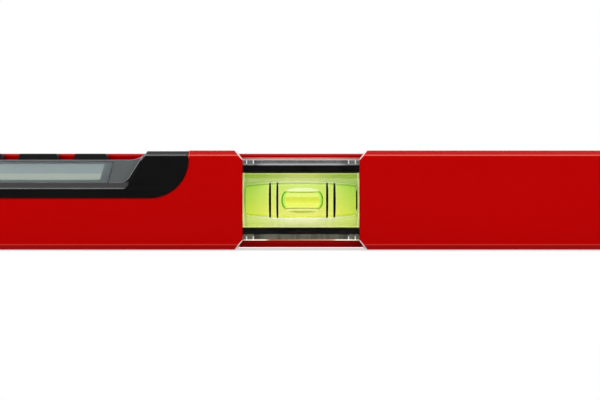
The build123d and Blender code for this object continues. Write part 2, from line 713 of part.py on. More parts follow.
# Module housing: black moulded shell with the sloped recess, the key shelf and solid ends
with BuildPart() as module_housing:
    with BuildSketch(at_depth(FRONT_Y)):
        module_outline(SEAM)
    extrude(amount=-(HOUSING_FRONT - FRONT_Y))
    block(about(MODULE_X, HOUSING_HALF), (HOUSING_FRONT, HOUSING_REAR), (HOUSING_LOW, HEIGHT))
    with BuildSketch(Plane.XY.offset(HOUSING_TOP)):
        with Locations((MODULE_X, 0)):
            Rectangle(OVERSIZE * MODULE_HALF, OVERSIZE * DEPTH)
    extrude(amount=OVERSIZE * HEIGHT, mode=Mode.SUBTRACT)
    # Front and chamfer flush with the body
    with BuildSketch(Plane.YZ.offset(MODULE_X - MODULE_HALF)):
        rounded_section()
    extrude(amount=2 * MODULE_HALF, mode=Mode.INTERSECT)
    # Recess above the slope, drafted so that it opens outwards
    spread_out = RECESS_DEEP * tan(radians(RECESS_DRAFT))
    with BuildSketch(SLOPE):
        recess_outline(-BOND, RECESS_TALL, RECESS, RECESS_CORNER)
    with BuildSketch(SLOPE.offset(RECESS_DEEP)):
        mouth = (RECESS[0] + spread_out * hypot(1, RECESS[1]), RECESS[1])
        recess_outline(-BOND - spread_out, RECESS_TALL + spread_out, mouth, RECESS_CORNER + spread_out)
    loft(ruled=True, mode=Mode.SUBTRACT)
    # Shelf behind the ridge, where the keys stand, swept up to the solid ends
    with BuildSketch(Plane(origin=(MODULE_X, RIDGE[0], 0), x_dir=(1, 0, 0), z_dir=(0, -1, 0))):
        shelf_outline()
    extrude(amount=-(REAR_Y - RIDGE[0]), mode=Mode.SUBTRACT)
    # Pocket for the bezel and opening for the display
    with BuildSketch(SLOPE):
        bezel_outline(BOND)
    extrude(amount=-BEZEL_THICK, mode=Mode.SUBTRACT)
    with BuildSketch(SLOPE.offset(-BEZEL_THICK)):
        with Locations((0, LCD_MID)):
            Rectangle(LCD_GLASS[0] + 2 * SEAM, LCD_GLASS[1] + 2 * SEAM)
    extrude(amount=-2 * FLOOR_THICK, mode=Mode.SUBTRACT)
    # Cavity for the electronics, open at the bottom
    with BuildSketch(Plane.YZ.offset(MODULE_X - CAVITY_HALF)):
        with BuildLine():
            under = SLOPE.offset(-BEZEL_THICK - FLOOR_THICK)
            foot = under.from_local_coords(Vector(0, CAVITY_FOOT, 0))
            ceiling = SHELF_Z - SHELF_THICK
            rise = (ceiling - foot.Z) / tan(radians(SLOPE_ANGLE))
            rear_in = HOUSING_REAR - CAVITY_REAR_WALL
            Polyline(
                (foot.Y, 0), (foot.Y, foot.Z), (foot.Y + rise, ceiling),
                (rear_in, ceiling), (rear_in, 0), close=True,
            )
        make_face()
    extrude(amount=2 * CAVITY_HALF, mode=Mode.SUBTRACT)
    # Ribs that carry the key board
    for place in RIB_PLACES:
        rib_y = (RIB_FRONT, HOUSING_REAR - RIB_REAR_GAP)
        block(about(MODULE_X + place, RIB_HALF), rib_y, (RIB_LOW, KEY_BOARD_Z - BOND))
    # Key holes and screw holes
    with BuildSketch(Plane.XY.offset(SHELF_Z)):
        for key, place, foot_wide, top_wide in KEYS:
            with Locations((MODULE_X + place, KEY_Y)):
                Rectangle(foot_wide + 2 * RUN_GAP, KEY_DEEP + 2 * RUN_GAP)
    extrude(amount=-KEY_HOLE_DEEP, mode=Mode.SUBTRACT)
    with BuildSketch(Plane.XY.offset(HOUSING_LOW)):
        with Locations(*[(x, y) for x in SCREW_X for y in SCREW_Y]):
            Circle(SCREW_PILOT[0])
    extrude(amount=SCREW_PILOT[1], mode=Mode.SUBTRACT)
    with BuildSketch(at_depth(HOUSING_REAR)):
        with Locations(*[(x, CASE_SCREW_Z) for x in SCREW_X]):
            Circle(CASE_PILOT)
    extrude(amount=CASE_SHANK[1], mode=Mode.SUBTRACT)
save(module_housing, "module_housing")

# Display bezel: grey moulded panel glued to the slope round the pane
with BuildPart() as display_bezel:
    with BuildSketch(SLOPE):
        bezel_outline(0.0)
        with Locations((0, PANE_MID)):
            RectangleRounded(
                PANE[0] + 2 * SEAM, PANE[1] + 2 * SEAM, PANE_CORNER + SEAM, mode=Mode.SUBTRACT
            )
    extrude(amount=-(BEZEL_THICK - BOND))
save(display_bezel, "display_bezel")

# Display stack: pane, printed mask, glass, backlight and driver board
on_slope("display_pane", PANE, PANE_MID, PANE_CORNER, 0.0, PANE_THICK)
with BuildPart() as display_mask:
    with BuildSketch(SLOPE.offset(-PANE_THICK)):
        with Locations((0, PANE_MID)):
            RectangleRounded(*PANE, PANE_CORNER)
        with Locations((0, LCD_MID)):
            Rectangle(*LCD_VIEW, mode=Mode.SUBTRACT)
    extrude(amount=-(BEZEL_THICK - PANE_THICK))
save(display_mask, "display_mask")
LCD_TOP = BEZEL_THICK + BOND
LIGHT_TOP = LCD_TOP + LCD_THICK + BOND
DRIVER_TOP = LIGHT_TOP + BACKLIGHT_THICK + BOND
on_slope("lcd_panel", LCD_GLASS, LCD_MID, GLASS_CORNER, LCD_TOP, LCD_THICK)
on_slope("lcd_backlight", LCD_GLASS, LCD_MID, GLASS_CORNER, LIGHT_TOP, BACKLIGHT_THICK)
on_slope("display_board", DRIVER_BOARD, LCD_MID, DRIVER_CORNER, DRIVER_TOP, BOARD_THICK)

# Main board and what is soldered to it
POSTS = [(MODULE_X + x, y) for x in POST_PLACES for y in POST_Y]
CHIP_LOW = MAIN_TOP + SOLDER
with BuildPart() as main_board:
    block(about(MODULE_X, MAIN_HALF), MAIN_Y, (MAIN_TOP - MAIN_THICK, MAIN_TOP))
    with BuildSketch(Plane.XY.offset(MAIN_TOP)):
        with Locations(*POSTS):
            Circle(POST_HOLE)
    extrude(amount=-MAIN_THICK, mode=Mode.SUBTRACT)
save(main_board, "main_board")
with BuildPart() as display_connector:
    block(about(MODULE_X, CONNECTOR_HALF), CONNECTOR_Y, (CHIP_LOW, CONNECTOR_TOP))
save(display_connector, "display_connector")
with BuildPart() as processor_chip:
    block(about(MODULE_X + CHIP_PLACE, CHIP_HALF), CHIP_Y, (CHIP_LOW, MAIN_TOP + CHIP_TALL))
save(processor_chip, "processor_chip")
with BuildPart() as tilt_sensor:
    block(about(MODULE_X + SENSOR_PLACE, SENSOR_HALF), SENSOR_Y, (CHIP_LOW, MAIN_TOP + SENSOR_TALL))
    fillet(tilt_sensor.edges().filter_by(Axis.Z), SENSOR_ROUND)
save(tilt_sensor, "tilt_sensor")
with BuildPart() as buzzer:
    with BuildSketch(Plane.XY.offset(CHIP_LOW)):
        with Locations((MODULE_X + BUZZER_PLACE, BUZZER_Y)):
            Circle(BUZZER_RADIUS)
    extrude(amount=BUZZER_TALL)
    with BuildSketch(Plane.XY.offset(CHIP_LOW + BUZZER_TALL)):
        with Locations((MODULE_X + BUZZER_PLACE, BUZZER_Y)):
            Circle(BUZZER_HOLE[0])
    extrude(amount=-BUZZER_HOLE[1], mode=Mode.SUBTRACT)
save(buzzer, "buzzer")

# Module base: plate that closes the housing from below, with posts for the main board
SCREWS = [(x, y) for x in SCREW_X for y in SCREW_Y]
with BuildPart() as module_base:
    block(about(MODULE_X, HOUSING_HALF - BASE_END_GAP), (HOUSING_FRONT, HOUSING_REAR), BASE_Z)
    with BuildSketch(Plane.XY.offset(BASE_Z[1])):
        with Locations(*POSTS):
            Circle(POST_RADIUS)
    extrude(amount=MAIN_TOP - MAIN_THICK - SOLDER - BASE_Z[1])
    with BuildSketch(Plane.XY.offset(BASE_Z[0])):
        with Locations(*SCREWS):
            Circle(BASE_HOLE)
    extrude(amount=BASE_Z[1] - BASE_Z[0], mode=Mode.SUBTRACT)
save(module_base, "module_base")

# Gasket between housing and base
with BuildPart() as module_gasket:
    with BuildSketch(Plane.XY.offset(BASE_Z[1] + GLUE)):
        gasket_deep = HOUSING_REAR - HOUSING_FRONT
        with Locations((MODULE_X, (HOUSING_FRONT + HOUSING_REAR) / 2)):
            Rectangle(2 * (CAVITY_HALF + GASKET_WIDE), gasket_deep)
            Rectangle(2 * CAVITY_HALF, gasket_deep - 2 * GASKET_SIDE, mode=Mode.SUBTRACT)
    extrude(amount=HOUSING_LOW - BASE_Z[1] - 2 * GLUE)
save(module_gasket, "module_gasket")

# Screws: four through the base into the housing, two through the rear wall
with BuildPart() as module_screws:
    with BuildSketch(Plane.XY.offset(BASE_Z[0])):
        with Locations(*SCREWS):
            Circle(SCREW_HEAD[0])
    extrude(amount=-SCREW_HEAD[1])
    with BuildSketch(Plane.XY.offset(BASE_Z[0])):
        with Locations(*SCREWS):
            Circle(SCREW_SHANK[0])
    extrude(amount=SCREW_SHANK[1])
    with BuildSketch(Plane.XY.offset(BASE_Z[0] - SCREW_HEAD[1])):
        with Locations(*SCREWS):
            Rectangle(SCREW_CROSS[0], SCREW_CROSS[1])
            Rectangle(SCREW_CROSS[1], SCREW_CROSS[0])
    extrude(amount=SCREW_CROSS[2], mode=Mode.SUBTRACT)
save(module_screws, "module_screws")

with BuildPart() as case_screws:
    for x in SCREW_X:
        head = at_rear(REAR_Y - CASE_HEAD_SUNK)
        neck = head.offset(-CASE_HEAD[1])
        with BuildSketch(head):
            with Locations((-x, CASE_SCREW_Z)):
                Circle(CASE_HEAD[0])
        with BuildSketch(neck):
            with Locations((-x, CASE_SCREW_Z)):
                Circle(CASE_SHANK[0])
        loft()
        with BuildSketch(neck):
            with Locations((-x, CASE_SCREW_Z)):
                Circle(CASE_SHANK[0])
        extrude(amount=-CASE_SHANK[1])
        with BuildSketch(head):
            with Locations((-x, CASE_SCREW_Z)):
                Rectangle(CASE_CROSS[0], CASE_CROSS[1])
                Rectangle(CASE_CROSS[1], CASE_CROSS[0])
        extrude(amount=-CASE_CROSS[2], mode=Mode.SUBTRACT)
save(case_screws, "case_screws")


# Keys: moulded caps guided by the shelf, each pressing the plunger of a switch below
with BuildPart() as key_board:
    block(about(MODULE_X, KEY_BOARD_HALF), KEY_BOARD_Y, (KEY_BOARD_Z, SWITCH_Z[0]))
save(key_board, "key_board")

with BuildPart() as key_switches:
    for key, place, foot_wide, top_wide in KEYS:
        block(about(MODULE_X + place, SWITCH[0] / 2), about(PLUNGER_Y, SWITCH[1] / 2), SWITCH_Z)
    with BuildSketch(Plane.XY.offset(SWITCH_Z[1])):
        with Locations(*[(MODULE_X + place, PLUNGER_Y) for key, place, foot_wide, top_wide in KEYS]):
            Circle(PLUNGER_RADIUS + SWITCH_FIT)
    extrude(amount=-(SWITCH_Z[1] - SWITCH_Z[0] - BOND), mode=Mode.SUBTRACT)
save(key_switches, "key_switches")

for key, place, foot_wide, top_wide in KEYS:
    key_x = MODULE_X + place
    with BuildPart() as button:
        wing, flange_deep, flange_y = KEY_FLANGE
        block(about(key_x, foot_wide / 2 + wing), about(flange_y, flange_deep / 2), KEY_FLANGE_Z)
        block(about(key_x, foot_wide / 2), about(KEY_Y, KEY_DEEP / 2), (KEY_FLANGE_Z[1], KEY_SHOULDER))
        with BuildSketch(Plane.XY.offset(KEY_SHOULDER)):
            with Locations((key_x, KEY_Y)):
                Rectangle(foot_wide, KEY_DEEP)
        with BuildSketch(Plane.XY.offset(KEY_TOP)):
            with Locations((key_x, KEY_Y)):
                Rectangle(top_wide, KEY_TOP_DEEP)
        loft(ruled=True)
        fillet(button.faces().sort_by(Axis.Z)[-1].edges(), KEY_ROUND)
    save(button, f"button_{key}")

    with BuildPart() as plunger:
        with BuildSketch(Plane.XY.offset(KEY_FLANGE_Z[0])):
            with Locations((key_x, PLUNGER_Y)):
                Circle(PLUNGER_RADIUS)
        extrude(amount=-PLUNGER_LONG)
    save(plunger, f"plunger_{key}")


# Battery tray: moulded bay behind the rear opening, with ears for the door's pins
EAR_OUT = DOOR_HALF - SEAM
EAR_IN = EAR_OUT - HINGE_EAR
DOOR_END = EAR_IN - SEAM
with BuildPart() as battery_tray:
    block(about(MODULE_X, TRAY_HALF), (HOUSING_FRONT, TRAY_REAR), TRAY_Z)
    block(about(MODULE_X, POCKET_HALF), (POCKET_FRONT, REAR_Y), POCKET_Z, mode=Mode.SUBTRACT)
    for sign in (-1, 1):
        ear_x = sorted((MODULE_X + sign * EAR_IN, MODULE_X + sign * EAR_OUT))
        ear_y = (TRAY_REAR - EAR_ROOT, HINGE_Y + EAR_REACH)
        block(ear_x, ear_y, (HINGE_Z - EAR_REACH, HINGE_Z + EAR_RISE))
    with BuildSketch(Plane.YZ.offset(MODULE_X - EAR_OUT)):
        with Locations((HINGE_Y, HINGE_Z)):
            Circle(PIN_RADIUS)
    extrude(amount=2 * EAR_OUT, mode=Mode.SUBTRACT)
save(battery_tray, "battery_tray")

# Cells: two in line, each with its raised end to the right
for name, start in (("left", MODULE_X - CELL_LONG - CELL_NUB[1] - BOND), ("right", MODULE_X)):
    with BuildPart() as cell:
        with BuildSketch(Plane.YZ.offset(start)):
            with Locations((CELL_Y, CELL_Z)):
                Circle(CELL_RADIUS)
        extrude(amount=CELL_LONG)
        fillet(cell.edges().filter_by(GeomType.CIRCLE), CELL_ROUND)
        with BuildSketch(Plane.YZ.offset(start + CELL_LONG)):
            with Locations((CELL_Y, CELL_Z)):
                Circle(CELL_NUB[0])
        extrude(amount=CELL_NUB[1])
    save(cell, f"battery_cell_{name}")

# Contacts: a sprung leaf against each end of the row of cells, backed by a plate
for name, sign in (("left", -1), ("right", 1)):
    wall_x = MODULE_X + sign * (POCKET_HALF - BOND)
    cell_end = MODULE_X + sign * (CELL_LONG + CELL_NUB[1]) - (BOND if sign < 0 else 0.0)
    touch_x = cell_end + sign * BOND
    with BuildPart() as contact:
        with BuildSketch(at_depth(CELL_Y - CONTACT_HALF_DEEP)):
            low, high = CONTACT_Z
            bend = sign * CONTACT_THICK
            with BuildLine():
                Polyline(
                    (wall_x, low), (wall_x, high), (wall_x - bend, high), (touch_x, CELL_Z),
                    (touch_x, CELL_Z - CONTACT_TIP), (touch_x + bend, CELL_Z - CONTACT_TIP),
                    (touch_x + bend, CELL_Z), (wall_x - bend, high - CONTACT_ROOT),
                    (wall_x - bend, low),
                    close=True,
                )
            make_face()
        extrude(amount=-2 * CONTACT_HALF_DEEP)
    save(contact, f"battery_contact_{name}")

# Door: flush plate in the rear wall, hinged along its rounded lower edge
with BuildPart() as battery_door:
    with BuildSketch(Plane.YZ.offset(MODULE_X - DOOR_END)):
        with Locations((HINGE_Y, HINGE_Z)):
            Circle(DOOR_THICK / 2)
        with Locations((HINGE_Y, (HINGE_Z + DOOR_Z[1] - SEAM) / 2)):
            Rectangle(DOOR_THICK, DOOR_Z[1] - SEAM - HINGE_Z)
    extrude(amount=2 * DOOR_END)
    with BuildSketch(Plane.YZ.offset(MODULE_X - DOOR_END)):
        with Locations((HINGE_Y, HINGE_Z)):
            Circle(PIN_RADIUS + PIN_FIT)
    extrude(amount=PIN_LONG, mode=Mode.SUBTRACT)
    with BuildSketch(Plane.YZ.offset(MODULE_X + DOOR_END)):
        with Locations((HINGE_Y, HINGE_Z)):
            Circle(PIN_RADIUS + PIN_FIT)
    extrude(amount=-PIN_LONG, mode=Mode.SUBTRACT)
    # Finger scoop at the middle of the free edge
    with BuildSketch(at_rear(REAR_Y)):
        with Locations((-MODULE_X, DOOR_Z[1] - SCOOP_DOWN)):
            SlotOverall(SCOOP[0], SCOOP[1])
    extrude(amount=-SCOOP[2], mode=Mode.SUBTRACT)
save(battery_door, "battery_door")

# Hinge pins: pressed into the tray's ears, the door turns on them
with BuildPart() as battery_door_pins:
    for sign in (-1, 1):
        with BuildSketch(Plane.YZ.offset(MODULE_X + sign * EAR_OUT)):
            with Locations((HINGE_Y, HINGE_Z)):
                Circle(PIN_RADIUS)
        extrude(amount=-sign * PIN_LONG)
save(battery_door_pins, "battery_door_pins")

# Seal: soft ring on the tray round the mouth of the battery pocket
with BuildPart() as battery_door_seal:
    with BuildSketch(at_depth(TRAY_REAR + GLUE)):
        mouth = POCKET_Z[1] - POCKET_Z[0]
        with Locations((MODULE_X, sum(POCKET_Z) / 2)):
            Rectangle(2 * (POCKET_HALF + SEAL_WIDE), mouth + SEAL_TALL[1])
            Rectangle(2 * POCKET_HALF, mouth + SEAL_TALL[0], mode=Mode.SUBTRACT)
    extrude(amount=-(INNER_Y - RUN_GAP - TRAY_REAR))
save(battery_door_seal, "battery_door_seal")
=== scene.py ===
from math import cos, pi, radians, sin

import bmesh
import bpy
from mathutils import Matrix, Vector


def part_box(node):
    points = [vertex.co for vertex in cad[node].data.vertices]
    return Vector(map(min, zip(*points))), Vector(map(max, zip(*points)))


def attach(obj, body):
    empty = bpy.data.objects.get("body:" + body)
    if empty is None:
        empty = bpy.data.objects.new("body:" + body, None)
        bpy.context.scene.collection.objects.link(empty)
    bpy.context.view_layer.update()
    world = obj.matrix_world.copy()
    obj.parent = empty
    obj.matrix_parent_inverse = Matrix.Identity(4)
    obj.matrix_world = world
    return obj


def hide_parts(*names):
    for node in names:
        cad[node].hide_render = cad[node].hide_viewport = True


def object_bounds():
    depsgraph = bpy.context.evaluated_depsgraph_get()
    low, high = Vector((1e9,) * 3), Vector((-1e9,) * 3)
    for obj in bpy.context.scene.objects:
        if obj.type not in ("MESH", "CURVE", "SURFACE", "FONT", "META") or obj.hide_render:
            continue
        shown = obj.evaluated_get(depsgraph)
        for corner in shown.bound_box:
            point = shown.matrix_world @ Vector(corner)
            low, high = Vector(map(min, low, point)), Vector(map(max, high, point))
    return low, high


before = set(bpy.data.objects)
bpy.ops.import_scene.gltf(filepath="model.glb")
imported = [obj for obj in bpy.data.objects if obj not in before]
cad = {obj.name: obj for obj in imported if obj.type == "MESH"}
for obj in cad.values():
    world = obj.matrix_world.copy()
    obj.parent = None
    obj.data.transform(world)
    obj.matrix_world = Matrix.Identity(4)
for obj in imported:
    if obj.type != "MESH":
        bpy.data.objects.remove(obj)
cad_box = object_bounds()


# Body profile
# An aluminium extrusion of box section, milled for the module and the windows and powder coated
# red. Its edges and the inside of its rear wall carry painted highlights and painted light, its
# seam round the module painted shade, and the flares of the centre window are milled bare.
def new_finish(name):
    """Node material: itself, its tree and its Principled shader."""
    made = bpy.data.materials.new(name)
    made.use_nodes = True
    return made, made.node_tree, made.node_tree.nodes["Principled BSDF"]


def lead(tree, value, socket):
    """Lead another node's output, or a plain value or colour, into a socket."""
    if isinstance(value, bpy.types.NodeSocket):
        tree.links.new(value, socket)
    elif socket.type == "RGBA":
        socket.default_value = (*value, 1.0)
    else:
        socket.default_value = value


def feed(shader, label, value):
    """Lead an output, or a plain value, into an input of a shader."""
    lead(shader.id_data, value, shader.inputs[label])


def put(tree, kind, *values, operation=None, **named):
    """Add a shader node. Values fill its inputs in order, and named values fill those inputs."""
    made = tree.nodes.new("ShaderNode" + kind)
    if operation:
        made.operation = operation
    for socket, value in zip(made.inputs, values):
        lead(tree, value, socket)
    for label, value in named.items():
        lead(tree, value, made.inputs[label.replace("_", " ")])
    return made


def spot_of(tree):
    """Place of a shaded point in the part's frame."""
    return put(tree, "TexCoord").outputs["Object"]


def parts_of(tree):
    """X, Y and Z of a shaded point in the part's frame."""
    return put(tree, "SeparateXYZ", spot_of(tree)).outputs


def maths(tree, operation, *values):
    """Output of a Math node."""
    return put(tree, "Math", *values, operation=operation).outputs[0]


def product(tree, first, *others):
    """Product of values and masks."""
    for other in others:
        first = maths(tree, "MULTIPLY", first, other)
    return first


def scaled(tree, value, gain, start):
    """A value times a gain, added to a start."""
    return maths(tree, "ADD", maths(tree, "MULTIPLY", value, gain), start)


def minus(tree, value, taken):
    """A value less another."""
    return maths(tree, "SUBTRACT", value, taken)


def size_of(tree, value):
    """A value without its sign."""
    return maths(tree, "ABSOLUTE", value)


def apart(tree, value, centre):
    """Distance of a value from a centre, on either side."""
    return size_of(tree, minus(tree, value, centre))


def rest_of(tree, mask):
    """What a mask leaves over."""
    return minus(tree, 1.0, mask)


def above(tree, value, limit):
    """Mask of where a value is above a limit."""
    return maths(tree, "GREATER_THAN", value, limit)


def below(tree, value, limit):
    """Mask of where a value is below a limit."""
    return maths(tree, "LESS_THAN", value, limit)


def larger(tree, first, second):
    """The larger of two values."""
    return maths(tree, "MAXIMUM", first, second)


def between(tree, value, low, high):
    """Share from 0 to 1 as a value goes from low to high, held at both ends."""
    return put(tree, "MapRange", Value=value, From_Min=low, From_Max=high).outputs[0]


def diagonal(tree, first, second):
    """Length of the diagonal between two sides at right angles."""
    sides = put(tree, "CombineXYZ", first, second).outputs[0]
    return put(tree, "VectorMath", sides, operation="LENGTH").outputs["Value"]


def noise(tree, vector, scale, detail, rough=0.5):
    """Noise over a place."""
    made = put(tree, "TexNoise", Vector=vector, Scale=scale, Detail=detail, Roughness=rough)
    return made.outputs["Fac"]


def streaked(tree, scales, detail):
    """Noise that is drawn out, finer along some axes than along others."""
    stretched = put(tree, "Mapping", Vector=spot_of(tree), Scale=scales).outputs[0]
    return noise(tree, stretched, scale=1.0, detail=detail)


def ramp(tree, share, *stops):
    """Colour of a ramp over (place, colour) stops."""
    made = put(tree, "ValToRGB", share)
    elements = made.color_ramp.elements
    while len(elements) < len(stops):
        elements.new(position=0.5)
    for element, (place, colour) in zip(elements, stops):
        element.position = place
        element.color = (*colour, 1.0)
    return made.outputs["Color"]


def mottle(tree, share, dark, light):
    """Colour between two shades, over the middle of a noise."""
    return ramp(tree, share, (0.3, dark), (0.7, light))


def blend(tree, share, first, second):
    """Colour that goes from the first to the second with a share. Each is a colour or an output."""
    made = put(tree, "Mix", share)
    made.data_type = "RGBA"
    first_colour, second_colour = made.inputs[6:8]
    lead(tree, first, first_colour)
    lead(tree, second, second_colour)
    return made.outputs[2]


def wear(finish, *nodes):
    """Give CAD nodes their finish."""
    for node in nodes:
        cad[node].data.materials.clear()
        cad[node].data.materials.append(finish)


# Mask of the outer edges of a piece, from occlusion inside it, for painted highlights and painted shade
edge_occlusion_group = bpy.data.node_groups.new("edge_occlusion_group", "ShaderNodeTree")
edge_occlusion_group.interface.new_socket("Width", in_out="INPUT", socket_type="NodeSocketFloat")
edge_occlusion_group.interface.new_socket("Edge", in_out="OUTPUT", socket_type="NodeSocketFloat")
edge_group_in = edge_occlusion_group.nodes.new("NodeGroupInput")
edge_group_out = edge_occlusion_group.nodes.new("NodeGroupOutput")
inward_occlusion = put(edge_occlusion_group, "AmbientOcclusion", Distance=edge_group_in.outputs["Width"])
inward_occlusion.inside = True
inward_occlusion.only_local = True
inward_occlusion.samples = 8
occluded_start, occluded_full = 0.004, 0.05
occluded_share = rest_of(edge_occlusion_group, inward_occlusion.outputs["AO"])
edge_occlusion_group.links.new(between(edge_occlusion_group, occluded_share, occluded_start, occluded_full), edge_group_out.inputs["Edge"])


def outer_edge_mask(tree, width):
    """Mask of the outer edges of a piece, where highlights and shade are painted."""
    made = put(tree, "Group")
    made.node_tree = edge_occlusion_group
    made.inputs["Width"].default_value = width
    return made.outputs["Edge"]


red_coat, tree, shader = new_finish("red_powder_coat")
place = parts_of(tree)
profile_middle = (cad_box[0].z + cad_box[1].z) / 2
from_middle = apart(tree, place["Z"], profile_middle)

# Flares of the window, bare on the front
window_half, notch_half, flare_lean = 0.0304, 0.0212, 0.8125
bare_wide, bare_lap, front_skin = 0.00048, 0.0003, -0.0085
past_notch = minus(tree, from_middle, notch_half)
past_window = minus(tree, size_of(tree, place["X"]), window_half)
past_flare = minus(tree, past_window, product(tree, past_notch, flare_lean))
on_front = below(tree, place["Y"], front_skin)
on_flare = above(tree, past_notch, -bare_lap)
milled = product(tree, below(tree, past_flare, bare_wide), on_front, on_flare)

# Painted highlights on the cut edges, brighter towards the top, and painted shade in the seam round the
# module
cut_wide, seam_wide, beside_wide = 0.0007, 0.0009, 0.0012
front_part, rim_foot = 0.004, 0.0505
bright_from, bright_full = 0.0475, 0.0490
module_side, module_foot = -0.055, 0.02
rim_share, top_share, plain_share = 0.5, 0.8, 0.22
in_front = below(tree, place["Y"], front_part)
beside_window = product(tree, below(tree, past_window, beside_wide), on_front)
upper_rim = product(tree, above(tree, place["Z"], rim_foot), rim_share)
cut_edge = product(tree, outer_edge_mask(tree, cut_wide), rest_of(tree, beside_window))
cut_edge = product(tree, cut_edge, larger(tree, in_front, upper_rim))
near_top = between(tree, place["Z"], bright_from, bright_full)
round_module = product(tree, below(tree, place["X"], module_side), above(tree, place["Z"], module_foot))
seam_shade = product(tree, outer_edge_mask(tree, seam_wide), round_module, rest_of(tree, near_top), in_front)
top_highlight = product(tree, near_top, top_share)
plain_highlight = product(tree, rest_of(tree, round_module), plain_share)
cut_highlight = product(tree, cut_edge, larger(tree, top_highlight, plain_highlight))

# Painted highlight on the long edges where the walls meet their chamfers, dimmer on the lower side
edge_deep, edge_high = 0.012, 0.02327
edge_blur, edge_core, edge_share = 0.00042, 0.00012, 0.9
dim_below, full_above, dim_share = 0.010, 0.030, 0.3
off_deep = minus(tree, size_of(tree, place["Y"]), edge_deep)
off_edge = diagonal(tree, off_deep, minus(tree, from_middle, edge_high))
upper_share = scaled(tree, between(tree, place["Z"], dim_below, full_above), 1.0 - dim_share, dim_share)
long_highlight = product(tree, between(tree, off_edge, edge_blur, edge_core), upper_share, edge_share)

# Inside of the rear wall, which shows over and under the window, with a painted pink highlight on the
# band above and painted light, a lighter red, on the lip below
wall_inside, wall_lap = 0.0097, 0.0004
band_middle, band_half, band_reach, lip_top = 0.0484, 0.0016, 0.0045, 0.0042
inside_wall = below(tree, apart(tree, place["Y"], wall_inside), wall_lap)
in_band = below(tree, apart(tree, place["Z"], band_middle), band_half)
upper_band_highlight = product(tree, inside_wall, in_band, below(tree, past_window, band_reach))
lower_lip = product(tree, inside_wall, below(tree, place["Z"], lip_top))

# Colours from the coat, with its painted highlights, shade and light, to the bare metal, and the fine
# peel of the coat
dark_red, light_red = (0.462, 0.0, 0.0), (0.480, 0.0, 0.0)
seam_shade_red, highlight_red = (0.10, 0.003, 0.003), (0.95, 0.14, 0.10)
band_highlight_pink, lip_lit_red = (1.0, 0.47, 0.38), (0.62, 0.012, 0.010)
dark_metal, light_metal = (0.82, 0.80, 0.78), (0.93, 0.92, 0.90)
spot = spot_of(tree)
coat = mottle(tree, noise(tree, spot, scale=14.0, detail=2.0), dark_red, light_red)
coat = blend(tree, seam_shade, coat, seam_shade_red)
coat = blend(tree, larger(tree, cut_highlight, long_highlight), coat, highlight_red)
coat = blend(tree, upper_band_highlight, coat, band_highlight_pink)
coat = blend(tree, lower_lip, coat, lip_lit_red)
mill_mark = streaked(tree, scales=(60.0, 2500.0, 2500.0), detail=2.0)
metal = mottle(tree, mill_mark, dark_metal, light_metal)
peel = noise(tree, spot, scale=900.0, detail=3.0, rough=0.55)
peel_bump = put(tree, "Bump", Strength=0.05, Distance=0.0001, Height=peel)
feed(shader, "Base Color", blend(tree, milled, coat, metal))
feed(shader, "Metallic", milled)
feed(shader, "Roughness", scaled(tree, peel, gain=0.1, start=0.18))
feed(shader, "Specular IOR Level", 0.04)
feed(shader, "Normal", peel_bump.outputs[0])
wear(red_coat, "profile_body")


# End closures
# A hard black plug is pressed into each end of the profile, and a moulded rubber bumper is
# pegged over its flange to take the knocks.
grain = bpy.data.node_groups.new("moulded_grain", "ShaderNodeTree")
for label in ("Fineness", "Low", "High"):
    grain.interface.new_socket(label, in_out="INPUT", socket_type="NodeSocketFloat")
for label in ("Height", "Gloss", "Shade"):
    grain.interface.new_socket(label, in_out="OUTPUT", socket_type="NodeSocketFloat")
grain_in = grain.nodes.new("NodeGroupInput")
grain_out = grain.nodes.new("NodeGroupOutput")
grain_spot = spot_of(grain)
pits = noise(grain, grain_spot, scale=grain_in.outputs["Fineness"], detail=2.0)
clouds = noise(grain, grain_spot, scale=45.0, detail=3.0)
span = minus(grain, grain_in.outputs["High"], grain_in.outputs["Low"])
grain.links.new(pits, grain_out.inputs["Height"])
grain.links.new(scaled(grain, clouds, span, grain_in.outputs["Low"]), grain_out.inputs["Gloss"])
grain.links.new(clouds, grain_out.inputs["Shade"])


def greys(dark, light):
    """Two neutral shades."""
    return (dark,) * 3, (light,) * 3


def moulded(name, shades, gloss, fineness, bump, specular=0.5):
    """Moulded plastic or rubber with a fine grain, between two shades and two roughnesses."""
    made, tree, shader = new_finish(name)
    texture = put(tree, "Group")
    texture.node_tree = grain
    for label, value in zip(("Fineness", "Low", "High"), (fineness, *gloss)):
        texture.inputs[label].default_value = value
    raised = put(tree, "Bump", Strength=bump, Distance=0.00005, Height=texture.outputs["Height"])
    feed(shader, "Base Color", mottle(tree, texture.outputs["Shade"], *shades))
    feed(shader, "Roughness", texture.outputs["Gloss"])
    feed(shader, "Specular IOR Level", specular)
    feed(shader, "Normal", raised.outputs[0])
    return made


plug_plastic = moulded("plug_plastic", greys(0.012, 0.018), gloss=(0.42, 0.55), fineness=4000.0, bump=0.3)
bumper_rubber = moulded(
    "bumper_rubber", greys(0.016, 0.026), gloss=(0.6, 0.8), fineness=2600.0, bump=0.5, specular=0.3,
)
for side in ("left", "right"):
    wear(plug_plastic, f"end_plug_{side}")
    wear(bumper_rubber, f"end_bumper_{side}")


# Centre vial
# A clear yellow-green acrylic block with a lens front and back, bored out to a barrel, filled
# with tinted spirit and sealed with a plug. Black bands mark where the bubble should stand.
def node_box(node):
    """Middle of a CAD node, and half its size along X, Y and Z."""
    low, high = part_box(node)
    return (low + high) / 2, (high - low) / 2


def mesh_piece(name, points, faces):
    """New smooth mesh piece from points in metres, with its faces turned outwards."""
    mesh = bpy.data.meshes.new(name)
    mesh.from_pydata(points, [], faces)
    shape = bmesh.new()
    shape.from_mesh(mesh)
    bmesh.ops.recalc_face_normals(shape, faces=shape.faces)
    shape.to_mesh(mesh)
    shape.free()
    for face in mesh.polygons:
        face.use_smooth = True
    made = bpy.data.objects.new(name, mesh)
    bpy.context.scene.collection.objects.link(made)
    return made


